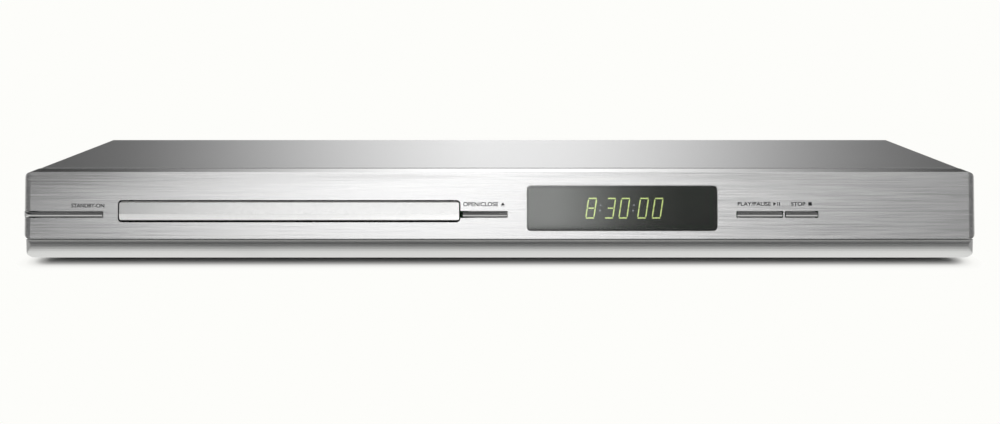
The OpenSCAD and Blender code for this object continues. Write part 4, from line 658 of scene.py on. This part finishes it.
form = bmesh.new()
size = [(high - low) / MM for low, high in zip(BOARD[0], BOARD[1])]
placed = []
while len(placed) < SMALL_PARTS:
    x, y = [random.uniform(BOARD_EDGE, size[i] - BOARD_EDGE) for i in (0, 1)]
    if taken(x, y) or any(abs(x - a) < APART and abs(y - b) < APART for a, b in placed):
        continue
    placed.append((x, y))
    long, short = (SMALL[0], SMALL[1]) if random.random() < 0.5 else (SMALL[1], SMALL[0])
    made = bmesh.ops.create_cube(form, size=1.0)["verts"]
    bmesh.ops.scale(form, verts=made, vec=Vector((long, short, SMALL[2])) * MM)
    bmesh.ops.translate(form, verts=made, vec=(corner + Vector((x, y, BOARD_TOP + SMALL[2] / 2))) * MM)
bmesh.ops.bevel(form, geom=form.edges[:], offset=SMALL_EDGE * MM, segments=1, affect="EDGES")
form_piece("chip_parts", form, ceramic("ceramic_chip_parts", "#26272a", "#b9a98c"))
print("small parts:", len(placed))

# %% [markdown]
# ## Floor
# The floor is plain white. Under the player it is ordinary matte paint that takes the player's real shadow;
# round it a painted shadow edge, a ramp set by the distance from the player, turns it into plain white for
# the eye and for glass a few centimetres out. Gloss sees a painted reflection: white close to the player,
# grey further out and paler far away. Light on the player never has to be stronger for that.

# %% Floor
FLOOR_HALF = 40.0
SHADOW_HALF = (0.207, 0.088)      # half size of the part of the floor that the eye sees as plain paint, darkened by the player's real shadow; the painted shadow edge starts at its border
END_PINCH = 2.5                   # how much sooner the painted shadow edge ends at the sides than in front
FADE = 0.05                       # metres over which the painted shadow edge gives way to white
GLOSS_FADE = 1.0                  # metres over which the painted floor reflection runs from white by the player, through grey, to paler far away

floor_mesh = bpy.data.meshes.new("floor")
floor_mesh.from_pydata([(-FLOOR_HALF, -FLOOR_HALF, 0), (FLOOR_HALF, -FLOOR_HALF, 0),
                        (FLOOR_HALF, FLOOR_HALF, 0), (-FLOOR_HALF, FLOOR_HALF, 0)], [], [(0, 1, 2, 3)])
floor = bpy.data.objects.new("floor", floor_mesh)
bpy.context.scene.collection.objects.link(floor)

paint, paint_shader = new_material("white_matte_floor", Base_Color=linear("#d2d2cf"), Roughness=0.9)
spot = add_node(paint, "VectorMath", add_node(paint, "NewGeometry").outputs["Position"], operation="ABSOLUTE")
outside = add_node(paint, "VectorMath", spot, (*SHADOW_HALF, 1.0), operation="SUBTRACT")
clipped = add_node(paint, "VectorMath", outside, (0, 0, 0), operation="MAXIMUM")
away = add_node(paint, "VectorMath", clipped, operation="LENGTH").outputs["Value"]
pinched = add_node(paint, "VectorMath", clipped, (END_PINCH, 1.0, 1.0), operation="MULTIPLY")
reach = add_node(paint, "VectorMath", pinched, operation="LENGTH").outputs["Value"]
# painted shadow edge: this ramp sets how the shadow fades to white round the player, for the eye and for
# glass
painted_shadow_fade = add_node(paint, "ValToRGB", add_node(paint, "MapRange", reach, 0.0, FADE),
                stops=[(0.0, "#000000"), (0.2, "#4a4a4a"), (0.38, "#9e9e9e"), (0.54, "#e3e3e3"),
                       (0.7, "#f9f9f9"), (0.9, "#ffffff")])
# painted reflection: gloss sees the floor white close to the player, mostly the grey lit paint further out
# and paler far away; this ramp sets it, not the light
painted_floor_reflection = add_node(paint, "ValToRGB", add_node(paint, "MapRange", away, 0.0, GLOSS_FADE),
                    stops=[(0.0, "#ffffff"), (0.03, "#fafafa"), (0.034, "#dadada"), (0.038, "#b8b8b8"),
                           (0.049, "#969696"), (0.06, "#888888"), (0.12, "#747474"), (0.5, "#707070"),
                           (0.9, "#b0b0b0")])
path = add_node(paint, "LightPath")
for_eye = add_node(paint, "Math", path.outputs["Is Camera Ray"], path.outputs["Is Transmission Ray"],
                   operation="MAXIMUM")
eye_share = add_node(paint, "Math", painted_shadow_fade, for_eye, operation="MULTIPLY")
gloss_share = add_node(paint, "Math", painted_floor_reflection, path.outputs["Is Glossy Ray"], operation="MULTIPLY")
share = add_node(paint, "Math", eye_share, gloss_share, operation="MAXIMUM")
# light that has already met a matte surface sees plain paint, so the shadow isn't lit from below
direct = add_node(paint, "Math", path.outputs["Diffuse Depth"], 0.5, operation="LESS_THAN")
share = add_node(paint, "Math", share, direct, operation="MULTIPLY")
glow = add_node(paint, "Emission", Color=linear("#fdfdfa"), Strength=1.0)
mixed = add_node(paint, "MixShader", share, paint_shader, glow)
set_inputs(paint, paint.node_tree.nodes["Material Output"], Surface=mixed)
floor_mesh.materials.append(paint)
print("floor is white", FADE * 1000, "mm out from under the player")

# %% [markdown]
# ## Studio light
# A shiny thing shows the room, so the room is the lighting. Three long cards stand one above the
# other behind the camera: the leaning plate mirrors the lowest near its foot and the others above.
# One card behind the player lights the cover, a wide one hangs overhead, and a small one lies on
# the floor in front. Each has its own fade along its length, so that no reflection has a hard end. The curved
# trim and the keys would catch the cards as glare, so black flags keep that light off them.

# %% Softboxes
def softbox(name, centre, look_at, width, height, strength, fade, edge=0.25):
    """A glowing card. fade is its level from its left end to its right, and edge the share of its
    height over which it fades at its top and foot."""
    mesh = bpy.data.meshes.new(name)
    w, h = width / 2, height / 2
    mesh.from_pydata([(-w, -h, 0), (w, -h, 0), (w, h, 0), (-w, h, 0)], [], [(0, 1, 2, 3)])
    card = bpy.data.objects.new(name, mesh)
    bpy.context.scene.collection.objects.link(card)
    card.location = centre
    card.rotation_euler = (Vector(look_at) - Vector(centre)).to_track_quat("Z", "Y").to_euler()
    card.visible_camera = False
    card.visible_shadow = False
    lit, shader = new_material(name)
    across = add_node(lit, "SeparateXYZ", add_node(lit, "TexCoord").outputs["Object"])
    level = add_node(lit, "ValToRGB", add_node(lit, "MapRange", across.outputs["X"], w, -w), stops=fade)
    up = add_node(lit, "Math", across.outputs["Y"], operation="ABSOLUTE")
    rim = add_node(lit, "MapRange", up, h * (1 - edge), h, 1.0, 0.0, interpolation_type="SMOOTHSTEP")
    behind = add_node(lit, "NewGeometry").outputs["Backfacing"]
    front = add_node(lit, "Math", 1.0, behind, operation="SUBTRACT")
    power = add_node(lit, "Math", add_node(lit, "Math", rim, front, operation="MULTIPLY"), strength,
                     operation="MULTIPLY")
    set_inputs(lit, lit.node_tree.nodes["Material Output"],
               Surface=add_node(lit, "Emission", Color=level, Strength=power))
    lit.node_tree.nodes.remove(shader)
    mesh.materials.append(lit)
    return card


LOW_FADE = [(0.0, "#000000"), (0.055, "#000000"), (0.1, "#616161"), (0.2, "#ababab"), (0.3, "#e7e7e7"),
            (0.39, "#ffffff"), (0.744, "#ffffff"), (0.787, "#d2d2d2"), (0.827, "#959595"), (0.867, "#666666"),
            (0.911, "#4c4c4c"), (1.0, "#404040")]
FOOT_FADE = [(0.0, "#000000"), (0.1, "#000000"), (0.16, "#848484"), (0.226, "#cbcbcb"), (0.3, "#b4b4b4"),
             (0.375, "#959595"), (0.45, "#9c9c9c"), (0.52, "#d0d0d0"), (0.6, "#ffffff"), (0.672, "#c8c8c8"),
             (0.746, "#585858"), (0.82, "#909090"), (0.9, "#9c9c9c"), (1.0, "#808080")]
HIGH_FADE = [(0.0, "#5c5c5c"), (0.109, "#6c6c6c"), (0.2, "#a0a0a0"), (0.265, "#cfcfcf"),
             (0.394, "#dcdcdc"), (0.456, "#cecece"), (0.52, "#dadada"), (0.584, "#f8f8f8"),
             (0.647, "#f2f2f2"), (0.711, "#cccccc"), (0.776, "#bcbcbc"), (0.89, "#a2a2a2"), (1.0, "#929292")]
REAR_FADE = [(0.0, "#000000"), (0.18, "#202020"), (0.24, "#5e5e5e"), (0.29, "#8c8c8c"), (0.338, "#b8b8b8"),
             (0.387, "#dadada"), (0.436, "#f2f2f2"), (0.5, "#fafafa"), (0.58, "#d0d0d0"), (0.63, "#aaaaaa"),
             (0.68, "#7a7a7a"), (0.728, "#404040"), (0.78, "#000000"), (1.0, "#000000")]
EVEN = [(0.0, "#b0b0b0"), (0.5, "#ffffff"), (1.0, "#b0b0b0")]
AWAY = -1.75                      # how far the front cards stand from the player's middle
FACE = (-0.12, 0.03)              # depth and height of the front plate, to which they are turned
cards = [
    softbox("front_foot_softbox", (0, AWAY, 0.3), (0, *FACE), 1.2, 0.13, 2.3, FOOT_FADE, 0.3),
    softbox("front_low_softbox", (-0.15, AWAY, 0.405), (-0.15, *FACE), 0.9, 0.15, 2.4, LOW_FADE, 0.6),
    softbox("front_softbox", (0, AWAY, 0.555), (0, *FACE), 1.4, 0.22, 2.3, HIGH_FADE, 0.3),
    softbox("rear_softbox", (-0.03, 1.7, 0.4), (-0.03, 0, 0.03), 1.9, 0.6, 1.7, REAR_FADE),
    softbox("top_softbox", (0, 0.55, 1.5), (0, 0.3, 0), 2.2, 1.2, 1.0, EVEN)]
fill = softbox("low_fill_card", (0, -0.18, 0.001), (0, -0.18, 1), 0.5, 0.06, 2.0, EVEN, 0.5)


def flag(name, parts, lamps):
    """A black flag, as a studio has: it keeps the light of some cards off some parts."""
    shaded = bpy.data.collections.new(name)
    for part in parts:
        shaded.objects.link(nodes[part])
    for entry in shaded.collection_objects:
        entry.light_linking.link_state = "EXCLUDE"
    for card in lamps:
        card.light_linking.receiver_collection = shaded


flag("flag_over_trim_and_keys", ("lower_trim", *KEYS), cards)
flag("flag_over_trim", ("lower_trim",), [fill])
print("cards:", [card.name for card in [*cards, fill]])

# %% [markdown]
# ## The room
# Between the cards the player mirrors the room itself. It is dark straight in front, which gives
# the trim and the keys their contrast, and paler at the sides and above the back, so that the
# cover and the end faces stay silver from every side. The eye and glass see it plain white.

# %% Room
ROOM = 0.13                       # grey of the dark part of the room, straight in front and behind
PALE = 0.37                       # how much lighter its sides are, and its height behind the player
HORIZON = 0.03                    # height of the white band at the horizon that gloss sees
# where each part of the room begins and where it has its full level, as parts of a unit direction
ASIDE, ASIDE_UP = (0.35, 0.65), (0.2, 0.3)
ABOVE, BEHIND = (0.25, 0.55), (0.05, 0.45)
world = bpy.data.worlds.new("studio")
bpy.context.scene.world = world
world.use_nodes = True
room = world.node_tree.nodes["Background"]
room.inputs["Color"].default_value = (1, 1, 1, 1)
white = add_node(world, "Background", Color=(1, 1, 1, 1), Strength=1.0)
path = add_node(world, "LightPath")
toward = add_node(world, "SeparateXYZ", add_node(world, "TexCoord").outputs["Generated"])
aside = add_node(world, "MapRange", add_node(world, "Math", toward.outputs["X"], operation="ABSOLUTE"),
                 *ASIDE, 0.0, PALE, interpolation_type="SMOOTHSTEP")
up = add_node(world, "MapRange", toward.outputs["Z"], *ASIDE_UP, interpolation_type="SMOOTHSTEP")
aside = add_node(world, "Math", aside, up, operation="MULTIPLY")
above = add_node(world, "MapRange", toward.outputs["Z"], *ABOVE, 0.0, PALE, interpolation_type="SMOOTHSTEP")
behind = add_node(world, "MapRange", toward.outputs["Y"], *BEHIND, interpolation_type="SMOOTHSTEP")
pale = add_node(world, "Math", aside, add_node(world, "Math", above, behind, operation="MULTIPLY"),
                operation="MAXIMUM")
set_inputs(world, room, Strength=add_node(world, "Math", pale, ROOM, operation="ADD"))
low = add_node(world, "MapRange", add_node(world, "Math", toward.outputs["Z"], operation="ABSOLUTE"),
               0.0, HORIZON, 1.0, 0.0)
band = add_node(world, "Math", low, path.outputs["Is Glossy Ray"], operation="MULTIPLY")
for_eye = add_node(world, "Math", path.outputs["Is Camera Ray"], path.outputs["Is Transmission Ray"],
                   operation="MAXIMUM")
mix = add_node(world, "MixShader", add_node(world, "Math", band, for_eye, operation="MAXIMUM"), room, white)
set_inputs(world, world.node_tree.nodes["World Output"], Surface=mix)
print("room level:", ROOM)
